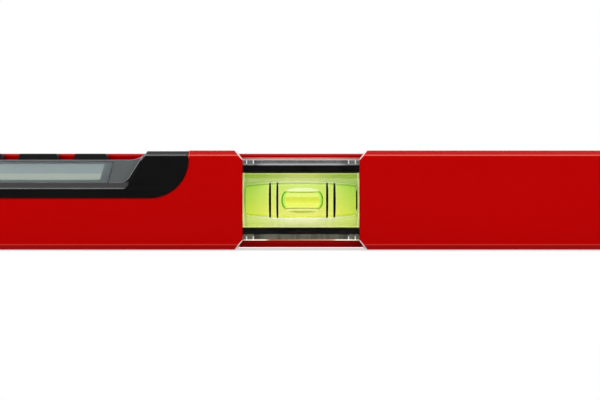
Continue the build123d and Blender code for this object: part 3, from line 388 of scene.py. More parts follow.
def turned(outline, turns):
    """Points and faces of a round shape from (along, radius) points between two poles."""
    rings = outline[1:-1]
    points = [(outline[0][0], 0.0, 0.0)]
    for along, radius in rings:
        for step in range(turns):
            angle = 2 * pi * step / turns
            points.append((along, radius * sin(angle), radius * cos(angle)))
    points.append((outline[-1][0], 0.0, 0.0))
    start, end, last = 1, 1 + (len(rings) - 1) * turns, len(points) - 1
    faces = []
    for step in range(turns):
        after = (step + 1) % turns
        faces.append((0, start + after, start + step))
        for ring in range(len(rings) - 1):
            here = start + ring * turns
            beyond = here + turns
            faces.append((here + step, here + after, beyond + after, beyond + step))
        faces.append((end + step, end + after, last))
    return points, faces


def lens_bar(half_long, vertex, edge, half_high):
    """Points and faces of a bar with a lens-shaped section."""
    steps = 40
    sag = vertex - edge
    radius = (half_high ** 2 + sag ** 2) / (2 * sag)
    arc = []
    for step in range(steps + 1):
        high = -half_high + 2 * half_high * step / steps
        arc.append((vertex - radius + (radius ** 2 - high ** 2) ** 0.5, high))
    section = [(-depth, high) for depth, high in arc] + [(depth, high) for depth, high in reversed(arc)]
    count = len(section)
    points = [(along, *at) for along in (-half_long, half_long) for at in section]
    faces = [tuple(range(count)), tuple(range(count, 2 * count))]
    for step in range(count):
        after = (step + 1) % count
        faces.append((step, step + count, after + count, after))
    return points, faces


def barrel_outline(half, middle, end, corner):
    """Outline of a bore: a long barrel curve with rounded corners at its ends."""
    def radius(along):
        return middle - (middle - end) * (along / half) ** 2

    corner_steps, body_steps = 6, 32
    rim = radius(half - corner)
    turn = []
    for step in range(corner_steps + 1):
        angle = pi / 2 * step / corner_steps
        turn.append((half - corner + corner * sin(angle), rim - corner + corner * cos(angle)))
    body = []
    for step in range(1, body_steps):
        along = (half - corner) * (2 * step / body_steps - 1)
        body.append((along, radius(along)))
    left = [(-along, out) for along, out in reversed(turn)]
    return [(-half, 0.0)] + left + body + turn + [(half, 0.0)]


bubble_blunt, bubble_full = 0.72, 0.8


def bubble_outline(half, radius):
    """Outline of a bubble: blunt round ends and nearly straight sides."""
    steps = 40
    outline = []
    for step in range(steps + 1):
        angle = pi - pi * step / steps
        across = cos(angle)
        along = half * abs(across) ** bubble_blunt * (1 if across > 0 else -1)
        outline.append((along, radius * abs(sin(angle)) ** bubble_full))
    outline[0], outline[-1] = (-half, 0.0), (half, 0.0)
    return outline


def clear_glass(shader, ior):
    """Make a shader clear, with a given bending of light."""
    feed(shader, "Transmission Weight", 1.0)
    feed(shader, "Roughness", 0.0)
    feed(shader, "IOR", ior)


no_light = (0.0, 0.0, 0.0)


def light_up(shader, colour):
    """Let a surface give off a little light of its own."""
    feed(shader, "Emission Color", colour)
    feed(shader, "Emission Strength", 1.0)


def off_middle(tree, lie):
    """Distance along a vial from its middle, signed height across it, and X, Y and Z, of a point."""
    axis, middle, across, centre = lie
    parts = parts_of(tree)
    return apart(tree, parts[axis], middle), minus(tree, parts[across], centre), parts


block_upper = (
    (0.2, (0.60, 0.70, 0.18)), (0.7, (0.40, 0.58, 0.09)),
    (0.93, (0.36, 0.54, 0.07)), (0.95, (0.31, 0.49, 0.07)),
)
block_lower = (
    (0.2, (0.88, 0.92, 0.47)), (0.7, (0.70, 0.82, 0.21)),
    (0.93, (0.63, 0.75, 0.15)), (0.95, (0.48, 0.63, 0.11)),
)
foot_green, bar_shade_green = (0.60, 0.70, 0.20), (0.02, 0.03, 0.01)
bore_clear, rim_cream = (0.99, 1.0, 0.97), (0.45, 0.36, 0.22)


def block_finish(name, lie, half_long, half_high, edge_deep, bore_radius, bore_taper):
    """Fluorescent acrylic block: clear over its bore and tinted beside it, painted lighter below than
    above and darker at its foot, with painted shade under the bar and a painted glow at its rims and
    ends.
    """
    made, tree, shader = new_finish(name)
    along, high, parts = off_middle(tree, lie)
    side = size_of(tree, high)
    share = maths(tree, "DIVIDE", along, half_long)
    bore_blur, end_wall = 0.0006, 0.0019
    tapered = maths(tree, "ADD", side, product(tree, share, share, bore_taper))
    off_bore = between(tree, tapered, bore_radius, bore_radius + bore_blur)
    off_bore = larger(tree, off_bore, above(tree, along, half_long - end_wall))
    # Painted light: the tint is lighter below than above
    tint_turn, foot_fade, foot_full = 0.004, 0.004, 0.0005
    rise = between(tree, high, -tint_turn, tint_turn)
    tint = blend(tree, rise, ramp(tree, share, *block_lower), ramp(tree, share, *block_upper))
    at_foot = between(tree, high, foot_fade - half_high, foot_full - half_high)
    tint = blend(tree, product(tree, at_foot, rest_of(tree, share)), tint, foot_green)
    tint = blend(tree, off_bore, bore_clear, tint)
    # Painted shade along the upper edge, under the bar
    bar_shade = 0.0003
    under_bar = above(tree, high, half_high - bar_shade)
    feed(shader, "Base Color", blend(tree, under_bar, tint, bar_shade_green))
    clear_glass(shader, ior=1.49)
    # Painted glow along the rims and on the front of the ends
    rim_deep, rim_in, rim_half, rim_light = 0.0004, 0.0006, 0.0003, 0.35
    end_in, end_half = 0.0010, 0.0004
    at_rim = above(tree, size_of(tree, parts["Y"]), edge_deep - rim_deep)
    on_rim = below(tree, apart(tree, side, half_high - rim_in), rim_half)
    on_end = below(tree, apart(tree, along, half_long - end_in), end_half)
    lit_rim = product(tree, on_rim, at_rim, rim_light)
    lit_end = product(tree, on_end, below(tree, parts["Y"], 0.0))
    light_up(shader, blend(tree, larger(tree, lit_rim, lit_end), no_light, rim_cream))
    return made


spirit_upper = (
    (0.2, (0.78, 1.0, 0.23)), (0.58, (0.69, 0.98, 0.18)),
    (0.972, (0.40, 0.75, 0.08)), (0.98, (0.10, 0.32, 0.02)),
)
spirit_lower = (
    (0.2, (1.0, 1.0, 0.23)), (0.58, (1.0, 1.0, 0.17)),
    (0.972, (0.76, 0.90, 0.09)), (0.98, (0.10, 0.32, 0.02)),
)
pale_yellow = (1.0, 1.0, 0.45)


def spirit_finish(name, lie, half_long, half_high, bubble_at, band_at, band_gap):
    """Tinted spirit: painted lighter and yellower below than above, greener at the ends, with painted
    light lines beside the marker bands.
    """
    made, tree, shader = new_finish(name)
    along, high, parts = off_middle(tree, lie)
    share = maths(tree, "DIVIDE", along, half_long)
    # Painted light: the tint is lighter and yellower below than above
    rise = between(tree, high, -half_high, half_high)
    tint = blend(tree, rise, ramp(tree, share, *spirit_lower), ramp(tree, share, *spirit_upper))
    # Painted light lines beside the marker bands
    pale_reach, pale_full = 0.0010, 0.0006
    off_bubble = apart(tree, parts[lie[0]], bubble_at)
    off_band = apart(tree, apart(tree, off_bubble, band_at), band_gap)
    beside_band = between(tree, off_band, pale_reach, pale_full)
    feed(shader, "Base Color", blend(tree, beside_band, tint, pale_yellow))
    clear_glass(shader, ior=1.07)
    return made


def air_finish(name, lie, half, radius, forward):
    """Bubble, with painted highlights, dark lines and rims on its front: pale along its sides, yellow
    over its middle and green round its ends, and painted glints that glow.
    """
    made, tree, shader = new_finish(name)
    along, high, parts = off_middle(tree, lie)
    side = size_of(tree, high)
    rise = between(tree, high, -radius, radius)
    out_along = maths(tree, "POWER", maths(tree, "DIVIDE", along, half), 2.0 / bubble_blunt)
    out_side = maths(tree, "POWER", maths(tree, "DIVIDE", side, radius), 2.0 / bubble_full)
    outward = maths(tree, "ADD", out_along, out_side)
    # Painted highlights and dark lines along the bubble, and painted dark green rims round its ends
    pale, line, deep_green = (1.0, 1.0, 1.0), (0.22, 0.28, 0.07), (0.05, 0.34, 0.006)
    upper_line, under_line = (0.38, 0.46, 0.14), (0.42, 0.48, 0.14)
    over = ramp(
        tree, rise,
        (0.0, under_line), (0.05, under_line), (0.07, pale), (0.13, pale), (0.14, line), (0.165, line),
        (0.185, (1.0, 1.0, 0.72)), (0.35, (1.0, 1.0, 0.46)), (0.5, (0.97, 0.94, 0.12)),
        (0.6, (0.96, 0.95, 0.20)), (0.63, (1.0, 1.0, 0.72)), (0.795, (1.0, 1.0, 0.90)),
        (0.805, upper_line), (0.852, upper_line), (0.864, pale), (1.0, pale),
    )
    round_end = ramp(
        tree, outward,
        (0.55, pale), (0.66, (0.56, 0.97, 0.40)), (0.77, (0.50, 0.96, 0.34)),
        (0.80, deep_green), (1.0, deep_green),
    )
    end_start, end_full = 0.50, 0.58
    high_fade, high_full = 0.70 * radius, 0.60 * radius
    ends = blend(tree, between(tree, outward, end_start, end_full), over, round_end)
    tint = blend(tree, between(tree, side, high_fade, high_full), over, ends)
    on_front = below(tree, parts["Y"], -forward)
    feed(shader, "Base Color", blend(tree, on_front, pale, tint))
    # Painted glints, which glow
    glint, dim_glint = (0.22, 0.18, 0.60), (0.10, 0.08, 0.25)
    low_light, high_light = (0.15, 0.15, 0.04), (0.12, 0.13, 0.09)
    glints = ramp(
        tree, rise,
        (0.06, no_light), (0.08, dim_glint), (0.13, dim_glint), (0.145, no_light), (0.17, no_light),
        (0.20, low_light), (0.36, low_light), (0.52, no_light), (0.62, no_light), (0.65, high_light),
        (0.78, high_light), (0.80, no_light), (0.845, no_light), (0.865, glint), (1.0, glint),
    )
    glint_end, glint_full = 0.92 * half, 0.76 * half
    lit = product(tree, on_front, between(tree, along, glint_end, glint_full))
    light_up(shader, blend(tree, lit, no_light, glints))
    clear_glass(shader, ior=1.06)
    return made


def vial_piece(name, to_frame, shape, finish, node, body):
    """Piece of a vial, placed in the part's frame, that stands for a CAD node."""
    points, faces = shape
    made = mesh_piece(name, [to_frame(*point) for point in points], faces)
    made.data.materials.append(finish)
    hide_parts(node)
    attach(made, body)
    return made


center_half = node_box("center_vial_block")[1]
center_spirit_half = node_box("center_vial_spirit")[1].x
bubble_middle, bubble_half = node_box("center_vial_bubble")
center_bubble_at, center_bubble_half = bubble_middle.x, bubble_half.x
center_edge, center_bubble_radius, center_bubble_forward = 0.0056, 0.0059, 0.0012


def in_window(along, depth, high):
    """Place of a point of the centre vial."""
    return (along, depth, profile_middle + high)


def in_window_bubble(along, depth, high):
    """Place of a point of the centre bubble, which stands a little off the middle and forward."""
    return (center_bubble_at + along, depth - center_bubble_forward, profile_middle + high)


center_acrylic = block_finish(
    "center_acrylic", ("X", 0.0, "Z", profile_middle),
    half_long=center_half.x, half_high=center_half.z, edge_deep=center_edge,
    bore_radius=0.0081, bore_taper=0.0019,
)
center_tint = spirit_finish(
    "center_spirit", ("X", 0.0, "Z", profile_middle),
    half_long=0.0298, half_high=0.0075, bubble_at=center_bubble_at, band_at=0.0152, band_gap=0.00195,
)
center_air = air_finish(
    "center_air", ("X", center_bubble_at, "Z", profile_middle),
    center_bubble_half, center_bubble_radius, center_bubble_forward,
)
center_block = vial_piece(
    "center_block", in_window, lens_bar(center_half.x, center_half.y, center_edge, center_half.z),
    center_acrylic, "center_vial_block", "level_body",
)
center_block_edges = center_block.modifiers.new("round", "BEVEL")
center_block_edges.width = 0.0003
center_block_edges.segments = 2
center_block_edges.limit_method = "ANGLE"
center_block_edges.harden_normals = True
center_barrel = barrel_outline(center_spirit_half, middle=0.00845, end=0.00725, corner=0.0024)
vial_piece(
    "center_spirit", in_window, turned(center_barrel, turns=72),
    center_tint, "center_vial_spirit", "level_body",
)
center_bubble_shape = bubble_outline(center_bubble_half, center_bubble_radius)
vial_piece(
    "center_bubble", in_window_bubble, turned(center_bubble_shape, turns=56),
    center_air, "center_vial_bubble", "center_bubble",
)


def opened(finish):
    """Tree and shader of a finish that gets more detail."""
    return finish.node_tree, finish.node_tree.nodes["Principled BSDF"]


def fed_by(shader, label):
    """Output that leads into an input of a shader."""
    return shader.inputs[label].links[0].from_socket


band_shades = (0.004, 0.005, 0.004), (0.008, 0.009, 0.007)
band_black = moulded("band_black", band_shades, gloss=(0.5, 0.6), fineness=3000.0, bump=0.1)
wear(band_black, "center_vial_rings", "plumb_vial_rings")

seal_shades = (0.10, 0.20, 0.012), (0.14, 0.26, 0.018)
plug_green = moulded("plug_green", seal_shades, gloss=(0.3, 0.4), fineness=1500.0, bump=0.1)
wear(plug_green, "plumb_vial_plug")
lit_plug = moulded("lit_plug", seal_shades, gloss=(0.3, 0.4), fineness=1500.0, bump=0.1)
# Painted light on the outer part of the centre plug: a lighter green and a glow
tree, shader = opened(lit_plug)
crescent_end, outer_lit_green, outer_glow = 0.0295, (0.55, 0.75, 0.2), (0.42, 0.46, 0.14)
past_crescent = above(tree, size_of(tree, parts_of(tree)["X"]), crescent_end)
feed(shader, "Base Color", blend(tree, past_crescent, fed_by(shader, "Base Color"), outer_lit_green))
light_up(shader, blend(tree, past_crescent, no_light, outer_glow))
wear(lit_plug, "center_vial_plug")


# Saddles
# Two black moulded bars hold the centre vial from above and below and reach past the window on
# both sides. Slim ribs and a grey bonding film back up the bevelled margins of the covers.
bar_shades = (0.004, 0.0045, 0.002), (0.006, 0.0065, 0.003)
bar_black = moulded("bar_black", bar_shades, gloss=(0.5, 0.65), fineness=3500.0, bump=0.2, specular=0.2)
tree, shader = opened(bar_black)
parts = parts_of(tree)
along = size_of(tree, parts["X"])
high = minus(tree, parts["Z"], profile_middle)
side = size_of(tree, high)
on_top = above(tree, high, 0.0)
streaks = streaked(tree, scales=(700.0, 60.0, 60.0), detail=2.0)
film_top = ramp(tree, streaks, (0.35, (0.05, 0.055, 0.055)), (0.65, (0.11, 0.12, 0.12)))
film_low = ramp(tree, streaks, (0.35, (0.08, 0.085, 0.05)), (0.65, (0.16, 0.165, 0.11)))
margin = blend(tree, on_top, film_low, film_top)

# Painted shadow inside the ribs, a painted highlight along the lip of the film, and painted glints on the
# edges of the ribs
rib_shadow, lip_highlight_grey, rib_glint_white = (0.010, 0.011, 0.008), (0.62, 0.63, 0.63), (0.95, 0.95, 0.92)
dark_from, dark_full, dark_end, dark_share = 0.0200, 0.0225, 0.0246, 0.65
inside_ribs = product(tree, between(tree, along, dark_from, dark_full), below(tree, along, dark_end))
margin = blend(tree, product(tree, inside_ribs, dark_share), margin, rib_shadow)
lip_fade, lip_full = 0.0192, 0.0184
lip_dim_from, lip_dim_full, lip_dim_share = 0.0195, 0.0235, 0.7
lip_dim = product(tree, between(tree, along, lip_dim_from, lip_dim_full), lip_dim_share)
film_lip_highlight = product(tree, between(tree, high, lip_fade, lip_full), on_top, rest_of(tree, lip_dim))
margin = blend(tree, film_lip_highlight, margin, lip_highlight_grey)
rib_wide, rib_foot = 0.0005, 0.0187
rib_glint = product(tree, outer_edge_mask(tree, rib_wide), above(tree, side, rib_foot))
margin = blend(tree, rib_glint, margin, rib_glint_white)
bevel_top, lower_drop = 0.0181, 0.0003
lowered = scaled(tree, below(tree, high, 0.0), lower_drop, side)
behind_bevel = above(tree, lowered, bevel_top)
feed(shader, "Base Color", blend(tree, behind_bevel, fed_by(shader, "Base Color"), margin))
wear(bar_black, "center_saddle_top", "center_saddle_bottom")


# Covers
# Clear acrylic plates with polished bevels and sawn matt edges close the centre window, and smaller
# flat ones close the plumb window. They are bonded in.
cover_clear, tree, shader = new_finish("cover_clear")
parts = parts_of(tree)
along = size_of(tree, parts["X"])
high = minus(tree, parts["Z"], profile_middle)
sawn_from, sawn_rough = 0.0208, 0.7
clear_glass(shader, ior=1.42)
feed(shader, "Roughness", product(tree, above(tree, size_of(tree, high), sawn_from), sawn_rough))

# Lower edge, with a painted reflection of the red wall in its inner part and a painted glow along it,
# reddish inside and pale outside
low_edge_top, inner_end, outer_start = -0.02045, 0.0165, 0.0185
low_edge = below(tree, high, low_edge_top)
outer_part = between(tree, along, inner_end, outer_start)
inner_part = product(tree, low_edge, rest_of(tree, outer_part))
hazy, clear, red_reflection = (0.985, 0.99, 0.985), (1.0, 1.0, 1.0), (0.74, 0.44, 0.36)
tint = mottle(tree, noise(tree, spot_of(tree), scale=120.0, detail=3.0), hazy, clear)
feed(shader, "Base Color", blend(tree, inner_part, tint, red_reflection))
inner_half, fade_from, fade_end = 0.016, 0.0255, 0.0305
to_right = between(tree, parts["X"], -inner_half, inner_half)
to_end = between(tree, along, fade_from, fade_end)
inner_glow = ramp(tree, to_right, (0.0, (0.12, 0.02, 0.015)), (1.0, (0.24, 0.12, 0.09)))
outer_glow = ramp(tree, to_end, (0.0, (0.34, 0.29, 0.23)), (1.0, (0.12, 0.10, 0.07)))
light_up(shader, blend(tree, low_edge, no_light, blend(tree, outer_part, inner_glow, outer_glow)))
wear(cover_clear, "center_cover_front", "center_cover_rear", "plumb_cover_front", "plumb_cover_rear")


# Plumb vial
# The same kind of vial, upright, in a black sleeve that passes through both walls near the
# right end, for reading verticals.
plumb_middle, plumb_half = node_box("plumb_vial_block")
plumb_spirit_half = node_box("plumb_vial_spirit")[1].z
plumb_bubble_half = node_box("plumb_vial_bubble")[1].z
plumb_edge, plumb_bubble_radius, plumb_bubble_forward = 0.0044, 0.0039, 0.001
plumb_lie = ("Z", plumb_middle.z, "X", plumb_middle.x)


def in_sleeve(along, depth, high):
    """Place of a point of the plumb vial."""
    return (plumb_middle.x + high, depth, plumb_middle.z + along)


def in_sleeve_bubble(along, depth, high):
    """Place of a point of the plumb bubble, which stands a little forward."""
    return (plumb_middle.x + high, depth - plumb_bubble_forward, plumb_middle.z + along)


plumb_acrylic = block_finish(
    "plumb_acrylic", plumb_lie, half_long=plumb_half.z, half_high=plumb_half.x, edge_deep=plumb_edge,
    bore_radius=0.0059, bore_taper=0.0011,
)
plumb_tint = spirit_finish(
    "plumb_spirit", plumb_lie, half_long=0.0164, half_high=0.005,
    bubble_at=plumb_middle.z, band_at=0.0074, band_gap=0.0,
)
plumb_air = air_finish(
    "plumb_air", plumb_lie, plumb_bubble_half, plumb_bubble_radius, plumb_bubble_forward,
)
vial_piece(
    "plumb_block", in_sleeve, lens_bar(plumb_half.z, plumb_half.y, plumb_edge, plumb_half.x),
    plumb_acrylic, "plumb_vial_block", "level_body",
)
plumb_barrel = barrel_outline(plumb_spirit_half, middle=0.00585, end=0.00515, corner=0.0017)
vial_piece(
    "plumb_spirit", in_sleeve, turned(plumb_barrel, turns=60),
    plumb_tint, "plumb_vial_spirit", "level_body",
)
plumb_bubble_shape = bubble_outline(plumb_bubble_half, plumb_bubble_radius)
vial_piece(
    "plumb_bubble", in_sleeve_bubble, turned(plumb_bubble_shape, turns=48),
    plumb_air, "plumb_vial_bubble", "plumb_bubble",
)
sleeve_black = moulded("sleeve_black", greys(0.008, 0.013), gloss=(0.4, 0.52), fineness=3500.0, bump=0.3)
wear(sleeve_black, "plumb_frame")


# Display module shell
# A satin black moulding that fills the cut-out in the front and top walls. Its recess slopes back
# to the display, and the solid ends stand up level with the profile.
slope_foot = (0.0, -0.012, 0.03205)
slope_rise = (0.0, 0.6317, 0.7752)
slope_out = (0.0, -0.7752, 0.6317)


def along_slope(tree, direction):
    """Distance of a point from the foot of the display's slope, along a direction."""
    from_foot = put(tree, "VectorMath", spot_of(tree), slope_foot, operation="SUBTRACT").outputs[0]
    return put(tree, "VectorMath", from_foot, direction, operation="DOT_PRODUCT").outputs["Value"]


shell_black = moulded(
    "shell_black", greys(0.0054, 0.0066), gloss=(0.29, 0.37), fineness=3800.0, bump=0.2, specular=0.13,
)
tree, shader = opened(shell_black)
module_x = node_box("module_housing")[0].x
parts = parts_of(tree)
along = apart(tree, parts["X"], module_x)
up_slope = along_slope(tree, slope_rise)
slope_lap = 0.0004
on_slope = below(tree, size_of(tree, along_slope(tree, slope_out)), slope_lap)

# Painted light: a lighter grey on the sill under the panel, with rounded lower corners, and on the slope
# above the panel
turn_along, turn_up, turn_out, turn_in = 0.0497, 0.0026, 0.0034, 0.0028
past_turn = larger(tree, minus(tree, along, turn_along), 0.0)
under_turn = maths(tree, "MINIMUM", minus(tree, up_slope, turn_up), 0.0)
in_corners = between(tree, diagonal(tree, past_turn, under_turn), turn_out, turn_in)
sill_top, panel_top = 0.0045, 0.0199
sill_lit_grey, ridge_lit_grey = (0.037, 0.037, 0.037), (0.09, 0.085, 0.09)
sill = product(tree, on_slope, below(tree, up_slope, sill_top), in_corners)
tone = blend(tree, sill, fed_by(shader, "Base Color"), sill_lit_grey)
past_panel = product(tree, on_slope, above(tree, up_slope, panel_top))
tone = blend(tree, past_panel, tone, ridge_lit_grey)

# Painted highlight on the lower part of the chamfer of the ends, and painted highlights on the edges
# inside the outline
chamfer_foot, chamfer_dark, chamfer_light = 0.0489, 0.0502, 0.0491
chamfer_highlight_grey, edge_highlight_grey = (0.10, 0.10, 0.10), (0.34, 0.34, 0.345)
chamfer_shade = between(tree, parts["Z"], chamfer_dark, chamfer_light)
lower_chamfer = product(tree, above(tree, parts["Z"], chamfer_foot), chamfer_shade)
tone = blend(tree, lower_chamfer, tone, chamfer_highlight_grey)
straight_half, end_middle, end_radius, outline_wide = 0.0646, 0.047, 0.0196, 0.0009
past_straight = larger(tree, minus(tree, along, straight_half), 0.0)
under_middle = maths(tree, "MINIMUM", minus(tree, parts["Z"], end_middle), 0.0)
off_outline = minus(tree, end_radius, diagonal(tree, past_straight, under_middle))
low_fade, low_full, high_fade, high_full = 0.0341, 0.0328, 0.0478, 0.0488
low_edge = product(tree, between(tree, parts["Z"], low_fade, low_full), in_corners)
edge_share = larger(tree, low_edge, between(tree, parts["Z"], high_fade, high_full))
shell_edge = 0.0005
inside_outline = above(tree, off_outline, outline_wide)
inner_edge_highlight = product(tree, outer_edge_mask(tree, shell_edge), inside_outline, edge_share)
feed(shader, "Base Color", blend(tree, inner_edge_highlight, tone, edge_highlight_grey))

# Slope beside the panel, duller than the rest
dull_foot, dull_full, dull_from, dull_to = 0.0015, 0.0045, 0.048, 0.0515
beside_panel = between(tree, along, dull_from, dull_to)
beside_panel = product(tree, beside_panel, between(tree, up_slope, dull_foot, dull_full))
dull_side = product(tree, on_slope, larger(tree, beside_panel, rest_of(tree, in_corners)))
feed(shader, "Roughness", larger(tree, fed_by(shader, "Roughness"), dull_side))
wear(shell_black, "module_housing", "module_base")


# Display
# A grey moulded panel is bonded to the slope round a flush clear pane. Behind the pane lie a grey
# printed mask, the liquid crystal glass, its light guide and the driver board.
panel_shades = (0.034, 0.043, 0.045), (0.041, 0.052, 0.054)
panel_grey = moulded("panel_grey", panel_shades, gloss=(0.42, 0.55), fineness=3000.0, bump=0.3)
tree, shader = opened(panel_grey)
parts = parts_of(tree)
along = apart(tree, parts["X"], module_x)
up_slope = along_slope(tree, slope_rise)
# Painted shade near the sides of the panel, and painted highlights on its edges, stronger towards its
# sides
side_shade_grey, edge_highlight_grey, seam_black = (0.022, 0.029, 0.030), (0.32, 0.33, 0.34), (0.008, 0.011, 0.011)
panel_foot_half, panel_lean = 0.0505, 0.285
shade_from, shade_full, shade_share = 0.0034, 0.0022, 0.6
from_side = minus(tree, scaled(tree, up_slope, panel_lean, panel_foot_half), along)
near_side = product(tree, between(tree, from_side, shade_from, shade_full), shade_share)
tone = blend(tree, near_side, fed_by(shader, "Base Color"), side_shade_grey)
panel_edge, least_share = 0.0003, 0.3
end_from, end_full, low_from, low_full = 0.0485, 0.0515, 0.030, 0.046
end_share = between(tree, along, end_from, end_full)
end_share = product(tree, end_share, between(tree, parts["Z"], low_from, low_full))
edge_share = scaled(tree, end_share, 1.0 - least_share, least_share)
tone = blend(tree, product(tree, outer_edge_mask(tree, panel_edge), edge_share), tone, edge_highlight_grey)
seam_at, seam_half, seam_top = 0.0422, 0.0004, 0.0195
pane_seam = below(tree, apart(tree, along, seam_at), seam_half)
pane_seam = product(tree, pane_seam, below(tree, up_slope, seam_top))
feed(shader, "Base Color", blend(tree, pane_seam, tone, seam_black))
wear(panel_grey, "display_bezel")

# The mask's greys are painted lighter, for light that the pane above holds back
mask_shades = (0.168, 0.222, 0.226), (0.19, 0.25, 0.253)
mask_grey = moulded("mask_grey", mask_shades, gloss=(0.5, 0.6), fineness=3000.0, bump=0.1)
tree, shader = opened(mask_grey)
border_from, border_grey = 0.0414, (0.045, 0.06, 0.062)
at_border = above(tree, apart(tree, parts_of(tree)["X"], module_x), border_from)
feed(shader, "Base Color", blend(tree, at_border, fed_by(shader, "Base Color"), border_grey))
wear(mask_grey, "display_mask")

pane_clear, tree, shader = new_finish("pane_clear")
smear = noise(tree, spot_of(tree), scale=80.0, detail=4.0)
feed(shader, "Base Color", mottle(tree, smear, (0.93, 0.95, 0.96), (0.96, 0.97, 0.97)))
clear_glass(shader, ior=1.5)
feed(shader, "Roughness", 0.02)
wear(pane_clear, "display_pane")

lcd_glass, tree, shader = new_finish("lcd_glass")
slope_long, fog_middle, fog_shift = 0.02, 0.5, 0.01
fog = noise(tree, spot_of(tree), scale=60.0, detail=2.0)
up_share = maths(tree, "DIVIDE", along_slope(tree, slope_rise), slope_long)
wavy = scaled(tree, minus(tree, fog, fog_middle), fog_shift, up_share)
# The zones are painted lighter, for light that the pane above holds back
zones = ramp(
    tree, wavy,
    (0.30, (0.436, 0.513, 0.43)), (0.545, (0.43, 0.505, 0.42)),
    (0.567, (0.29, 0.375, 0.365)), (0.9, (0.25, 0.335, 0.34)),
)
feed(shader, "Base Color", zones)
feed(shader, "Roughness", scaled(tree, fog, gain=0.1, start=0.25))
wear(lcd_glass, "lcd_panel")

guide_shades = (0.78, 0.8, 0.79), (0.85, 0.87, 0.86)
light_guide = moulded("light_guide", guide_shades, gloss=(0.3, 0.4), fineness=1500.0, bump=0.1)
wear(light_guide, "lcd_backlight")


# Electronics
# Green boards with black packages, a plated tilt sensor and steel screws, all closed inside the
# module.
board_shades = (0.01, 0.07, 0.03), (0.02, 0.11, 0.05)
board_green = moulded("board_green", board_shades, gloss=(0.3, 0.45), fineness=900.0, bump=0.3)
wear(board_green, "main_board", "display_board", "key_board")
chip_black = moulded("chip_black", greys(0.012, 0.018), gloss=(0.45, 0.6), fineness=4500.0, bump=0.2)
wear(chip_black, "processor_chip", "buzzer", "display_connector", "key_switches")
seal_rubber = moulded(
    "seal_rubber", greys(0.02, 0.03), gloss=(0.65, 0.8), fineness=2600.0, bump=0.4, specular=0.3,
)
wear(seal_rubber, "module_gasket", "battery_door_seal")

plated_steel, tree, shader = new_finish("plated_steel")
lines = streaked(tree, scales=(400.0, 4000.0, 4000.0), detail=3.0)
feed(shader, "Base Color", mottle(tree, lines, (0.52, 0.52, 0.53), (0.66, 0.66, 0.67)))
feed(shader, "Roughness", scaled(tree, lines, gain=0.2, start=0.22))
feed(shader, "Metallic", 1.0)
wear(plated_steel, "tilt_sensor", "module_screws", "case_screws", "battery_door_pins")
wear(plated_steel, "battery_contact_left", "battery_contact_right")


# Keys
# Three black caps stand on the shelf behind the display. Each is guided by its hole and presses a
# plunger into a switch on the key board.
key_black = moulded(
    "key_black", greys(0.0042, 0.006), gloss=(0.36, 0.46), fineness=3500.0, bump=0.3, specular=0.2,
)
for key in ("left", "middle", "right"):
    wear(key_black, f"button_{key}", f"plunger_{key}")


# Battery bay
# A moulded tray behind the rear wall holds the cells in line between sprung contacts. A flush door
# closes it, hinged on pins along its lower edge.
tray_black = moulded("tray_black", greys(0.012, 0.018), gloss=(0.5, 0.62), fineness=3000.0, bump=0.3)
wear(tray_black, "battery_tray")
wear(shell_black, "battery_door")

cell_wrap, tree, shader = new_finish("cell_wrap")
shrink = noise(tree, spot_of(tree), scale=70.0, detail=2.0)
feed(shader, "Base Color", mottle(tree, shrink, (0.07, 0.075, 0.085), (0.1, 0.105, 0.115)))
feed(shader, "Roughness", scaled(tree, shrink, gain=0.15, start=0.2))
wear(cell_wrap, "battery_cell_left", "battery_cell_right")


# Stage
# A plain pale floor under the level, soft boxes above and in front of it, a card before it and
# behind the camera that is dark in reflections alone, and a white surround.
scene = bpy.context.scene
scene.view_settings.view_transform = "Standard"
white = (1.0, 1.0, 1.0)


def seen_directly(tree):
    """One for camera, glossy and transmission rays."""
    rays = put(tree, "LightPath").outputs
    direct = larger(tree, rays["Is Camera Ray"], rays["Is Glossy Ray"])
    return larger(tree, direct, rays["Is Transmission Ray"])


def show_either(tree, share, first, second):
    """Let a material show its first or its second shader."""
    either = put(tree, "MixShader", share, first.outputs[0], second.outputs[0])
    tree.links.new(either.outputs[0], tree.nodes["Material Output"].inputs["Surface"])


floor_half, floor_level = 4.0, -0.0004
floor_points = [(x, y, floor_level) for y in (-floor_half, floor_half) for x in (-floor_half, floor_half)]
floor = mesh_piece("floor", floor_points, [(0, 1, 3, 2)])
floor_white, tree, shader = new_finish("floor_white")
fibre = noise(tree, spot_of(tree), scale=30.0, detail=3.0)
feed(shader, "Base Color", mottle(tree, fibre, *greys(0.80, 0.82)))
feed(shader, "Roughness", 0.9)
feed(shader, "Specular IOR Level", 0.0)
direct_lift, camera_lift = 0.45, 0.12
rays = put(tree, "LightPath").outputs
lift = scaled(tree, rays["Is Camera Ray"], camera_lift, product(tree, seen_directly(tree), direct_lift))
feed(shader, "Emission Color", white)
feed(shader, "Emission Strength", lift)
glow = put(tree, "Emission", Color=white, Strength=1.0)
show_either(tree, rays["Is Transmission Ray"], shader, glow)
floor.data.materials.append(floor_white)

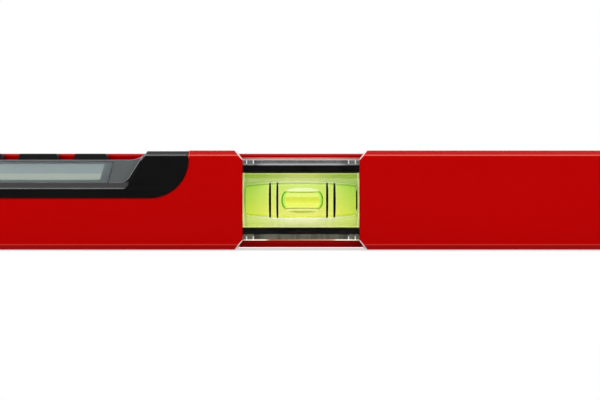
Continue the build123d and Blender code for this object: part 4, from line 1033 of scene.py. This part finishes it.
card_half, card_level, card_near, card_far, card_top = 1.2, 0.0001, -0.03, -0.42, 0.30
card_edges = [(card_near, card_level), (card_far, card_level), (card_far, card_top)]
card_points = [(x, y, z) for y, z in card_edges for x in (-card_half, card_half)]
dark_card = mesh_piece("dark_card", card_points, [(0, 1, 3, 2), (2, 3, 5, 4)])
card_black, tree, shader = new_finish("card_black")
nap = noise(tree, spot_of(tree), scale=200.0, detail=2.0)
feed(shader, "Base Color", mottle(tree, nap, *greys(0.004, 0.006)))
feed(shader, "Roughness", 1.0)
feed(shader, "Specular IOR Level", 0.0)
pale_card = put(tree, "Emission", Color=white, Strength=1.0)
half_bounce = 0.5
mirrored = above(tree, put(tree, "LightPath").outputs["Glossy Depth"], half_bounce)
show_either(tree, mirrored, pale_card, shader)
card_black.cycles.emission_sampling = "NONE"
dark_card.data.materials.append(card_black)
dark_card.visible_camera = False
dark_card.visible_diffuse = False
dark_card.visible_shadow = False

world = bpy.data.worlds.new("white_surround")
world.use_nodes = True
scene.world = world
surround = world.node_tree.nodes["Background"]
ambient = 0.5
brightness = scaled(world.node_tree, seen_directly(world.node_tree), 1.0 - ambient, ambient)
feed(surround, "Color", white)
feed(surround, "Strength", brightness)


def soft_box(name, place, target, wide, tall, power):
    """Rectangular soft light aimed at a point."""
    lamp = bpy.data.lights.new(name, "AREA")
    lamp.shape = "RECTANGLE"
    lamp.size = wide
    lamp.size_y = tall
    lamp.energy = power
    made = bpy.data.objects.new(name, lamp)
    made.location = place
    made.rotation_euler = (Vector(target) - Vector(place)).to_track_quat("-Z", "Y").to_euler()
    scene.collection.objects.link(made)
    return made


soft_box("key_box", (0.0, -0.72, 0.86), target=(0.0, 0.0, 0.03), wide=1.5, tall=0.3, power=2.0)
front_fill = soft_box(
    "front_fill", (0.0, -0.85, 0.06), target=(0.0, 0.0, 0.026), wide=1.5, tall=0.12, power=3.25,
)
front_fill.visible_glossy = False
soft_box("top_box", (0.0, 0.28, 1.0), target=(0.0, 0.0, 0.03), wide=1.6, tall=0.5, power=5.4)

camera_data = bpy.data.cameras.new("camera")
camera_data.lens = 35.72
camera_data.sensor_width = 36.0
camera_data.shift_y = 0.013
camera = bpy.data.objects.new("camera", camera_data)
camera.location = (-0.0005, -0.321, 0.02193)
camera.rotation_euler = (radians(90), 0.0, 0.0)
scene.collection.objects.link(camera)
scene.camera = camera
